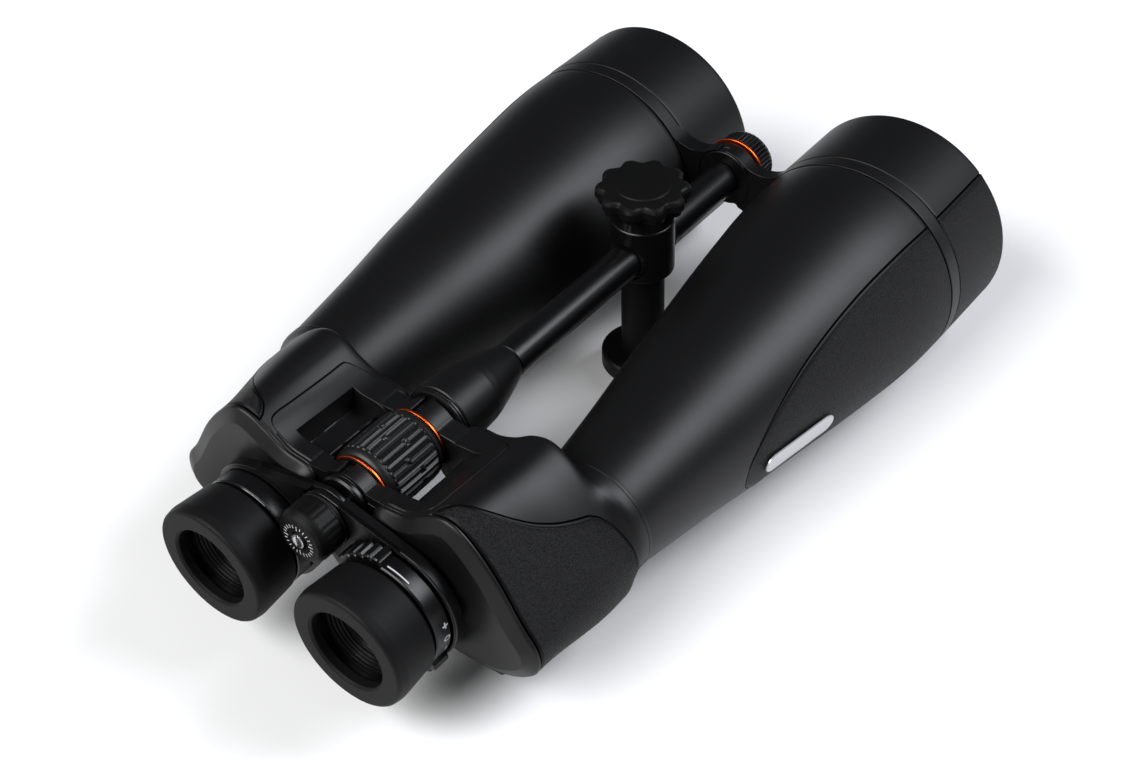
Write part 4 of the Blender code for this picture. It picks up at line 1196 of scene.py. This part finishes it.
def make_scale_cap():
    """Domed spindle cap with a fine ribbed side, a ring of painted ticks and a slotted screw."""

    def ribs(angle, radius, station):
        if radius < 10.6 or not 19.5 < station < 27.0:
            return radius
        return radius - 0.14 * (0.5 - 0.5 * math.cos(24 * angle)) ** 2

    profile = [(17.2, 3.5), (16.0, 3.5), (15.7, 4.4), (15.6, 7.2), (16.0, 9.2), (17.0, 10.4), (18.6, 11.1),
               (19.4, 11.3)]
    profile += [(s, 11.3) for s in np.linspace(19.6, 27.0, 8)]
    profile += [(27.4, 10.9), (28.0, 10.9), (28.3, 11.35), (29.1, 11.35), (29.1, 3.4)]
    ride(turn("spindle_cap", profile, HINGE, "knob", 0.15, 240, shape=ribs), "spindle",
         ["scale_cap"])
    screw = [(17.1, 2.9), (15.1, 2.9), (14.9, 2.6), (14.9, 0.0)]
    made = turn("spindle_screw", [(17.1, 0.0)] + screw, HINGE, "steel", 0.1, 64, closed=False)
    corners = [(x, HINGE[1] + z) for x, z in ((-0.4, -4), (0.4, -4), (0.4, 4), (-0.4, 4))]
    subtract(made, plate("slot_room", corners, 14.0, 15.6, "steel"))
    ride(made, "spindle", ["cap_screw"])
    make_ticks()


def make_ticks():
    """Ring of short painted ticks round the spindle cap's face, every sixth one longer."""
    verts, faces = [], []
    count = 24
    for k in range(count):
        angle = 2 * math.pi * k / count
        half = 0.16
        inner = 5.7 if k % 6 else 4.9
        corners = []
        for s in (15.75, 15.5):
            for r, w in ((inner, -half), (7.3, -half), (7.3, half), (inner, half)):
                x = r * math.cos(angle) - w * math.sin(angle)
                z = r * math.sin(angle) + w * math.cos(angle)
                corners.append((x, s + (0.12 if r > 7 else 0.0), HINGE[1] + z))
        add_box(verts, faces, corners)
    ticks = piece("spindle_ticks", verts, faces, "mark")
    tidy_mesh(ticks)
    ride(ticks, "spindle")


# Tripod post ------------------------------------------------------------------

def make_post():
    """Clamp, post and foot, and the lobed knob above them."""
    block = [(57.0, 9.2), (57.0, 9.6), (59.4, 13.4), (84.0, 13.4), (84.6, 12.9), (84.6, 4.4), (80.0, 4.4),
             (60.0, 4.4), (57.0, 4.4)]
    clamp = turn("clamp", block, POST, "black_metal", 0.5, 128, upright=True)
    clamp.modifiers.clear()
    subtract(clamp, round_room(HINGE, 8.9, POST[1] - 25.0, POST[1] + 25.0, 64))
    ride(clamp, "tripod_post", ["clamp_body"])
    stem = [(14.4, 0.0), (14.4, 9.3), (56.9, 9.3), (56.9, 0.0)]
    ride(turn("stem", stem, POST, "knob", 0.3, 96, closed=False, upright=True), "tripod_post",
         ["post"])
    foot = [(12.2, 0.0), (12.2, 3.2), (6.0, 3.2), (6.0, 17.2), (6.6, 18.0), (13.2, 18.0), (14.1, 17.0),
            (14.1, 0.0)]
    ride(turn("foot_disc", foot, POST, "knob", 0.6, 128, closed=False, upright=True), "tripod_post",
         ["foot"])
    make_knob()


def make_knob():
    """Two-tier knob with ten soft lobes and a shallow raised disc on top."""
    lobes, lobe_start, lobe_depth = 10, 15.5, 2.7

    def scallop(angle, radius, height):
        if radius < lobe_start or height < 91.5:
            return radius
        wave = 0.5 - 0.5 * math.cos(lobes * angle)
        share = min((radius - lobe_start) / 3.0, 1.0)
        return radius - lobe_depth * wave ** 1.3 * share

    profile = [(79.6, 0.0), (79.6, 3.6), (85.2, 3.6), (85.2, 12.0), (92.2, 12.0), (92.2, 17.9), (92.6, 18.4),
               (94.6, 18.6), (95.0, 19.4), (95.5, 19.8), (98.4, 19.7), (99.7, 19.0), (100.3, 17.6),
               (100.5, 13.4), (100.55, 11.9), (101.0, 11.6), (101.05, 10.8), (101.1, 0.0)]
    knob = turn("knob_head", profile, POST, "knob", 0.3, 300, closed=False, shape=scallop, upright=True)
    ride(knob, "knob", ["clamp_knob"])
    collar = [(85.1, 12.05), (85.1, 13.3), (85.6, 13.75), (91.6, 13.85), (92.15, 13.5), (92.15, 12.05)]
    ride(turn("knob_collar", collar, POST, "polished", 0.2, 128, upright=True), "knob")


# Studio -----------------------------------------------------------------------

FLOOR_REACH = 6.0
WORLD_COLOUR = (0.92, 0.96, 1.0, 1.0)
WORLD_STRENGTH = 0.10
# Place, target and size in metres, power in watts, and colour
KEY_LIGHT = ((0.81, 0.55, 1.07), (0.0, 0.0, 0.05), (0.70, 0.70), 22.0, (0.93, 0.95, 1.0))
FILL_LIGHT = ((-0.6, -1.9, 1.9), (0.0, 0.0, 0.0), (2.2, 1.4), 126.0, (1.0, 1.0, 1.0))
LENS_MM = 56.46
CAMERA_PLACE = (0.3467, -0.4300, 0.5229)
CAMERA_ANGLES = (38.48, 41.40, -1.98)    # azimuth, elevation and roll in degrees


def make_floor():
    """A pale matt floor under the lowest point of the CAD."""
    mesh = bpy.data.meshes.new("floor")
    corners = ((-1, -1), (1, -1), (1, 1), (-1, 1))
    points = [(x * FLOOR_REACH, y * FLOOR_REACH, CAD_BOX[0].z) for x, y in corners]
    mesh.from_pydata(points, [], [(0, 1, 2, 3)])
    mat, tree, shader, place = new_material("pale_floor", specular=0.2)
    cloudy = noise(tree, place, 3.0, 2.0)
    pale = blend_colours(tree, cloudy, grey(0.70, 0.705), grey(0.72, 0.72))
    tree.links.new(pale, shader.inputs["Base Color"])
    shader.inputs["Roughness"].default_value = 0.8
    mesh.materials.append(mat)
    floor = bpy.data.objects.new("floor", mesh)
    bpy.context.collection.objects.link(floor)


def area_light(name, place, target, size, power, colour):
    """A soft rectangular light that faces its target."""
    data = bpy.data.lights.new(name, "AREA")
    data.shape = "RECTANGLE"
    data.size, data.size_y = size
    data.energy = power
    data.color = colour
    light = bpy.data.objects.new(name, data)
    bpy.context.collection.objects.link(light)
    light.location = place
    light.rotation_mode = "QUATERNION"
    light.rotation_quaternion = (Vector(target) - Vector(place)).to_track_quat("-Z", "Y")


def make_studio():
    """The floor, a weak even sky and two soft lights."""
    make_floor()
    world = bpy.data.worlds.new("studio")
    bpy.context.scene.world = world
    world.use_nodes = True
    sky = world.node_tree.nodes["Background"]
    sky.inputs["Color"].default_value = WORLD_COLOUR
    sky.inputs["Strength"].default_value = WORLD_STRENGTH
    area_light("key", *KEY_LIGHT)
    area_light("fill", *FILL_LIGHT)
    bpy.context.scene.view_settings.view_transform = "Standard"


def make_camera():
    """A long lens from behind, to the right and above, rolled a little anticlockwise."""
    data = bpy.data.cameras.new("camera")
    data.sensor_width = 36.0
    data.lens = LENS_MM
    data.clip_end = 50.0
    camera = bpy.data.objects.new("camera", data)
    bpy.context.collection.objects.link(camera)
    azimuth, elevation, roll = (math.radians(a) for a in CAMERA_ANGLES)
    back = Vector((math.sin(azimuth) * math.cos(elevation), -math.cos(azimuth) * math.cos(elevation),
                   math.sin(elevation)))
    level = Vector((math.cos(azimuth), math.sin(azimuth), 0.0))
    up = back.cross(level)
    right = level * math.cos(roll) + up * math.sin(roll)
    true_up = -level * math.sin(roll) + up * math.cos(roll)
    rows = list(zip(right, true_up, back, CAMERA_PLACE))
    camera.matrix_world = Matrix(rows + [(0.0, 0.0, 0.0, 1.0)])
    bpy.context.scene.camera = camera


def finish_cad_nodes():
    """Give the CAD nodes that stay in sight, or inside, their own materials."""
    for name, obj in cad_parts.items():
        look = CAD_LOOKS.get(name.replace("right_", "").replace("left_", ""))
        if look is not None:
            obj.data.materials.clear()
            obj.data.materials.append(MATS[look])


def main():
    """Set the studio, then build both halves and what lies between them."""
    make_camera()
    make_studio()
    finish_cad_nodes()
    for side in SIDES:
        make_barrel(side)
        make_hood(side)
        make_bridge(side)
        make_housing(side)
        make_eye_arm(side)
        make_eyecup(side)
    make_badge()
    make_collars()
    make_wheel()
    make_column()
    make_scale_cap()
    make_post()


main()
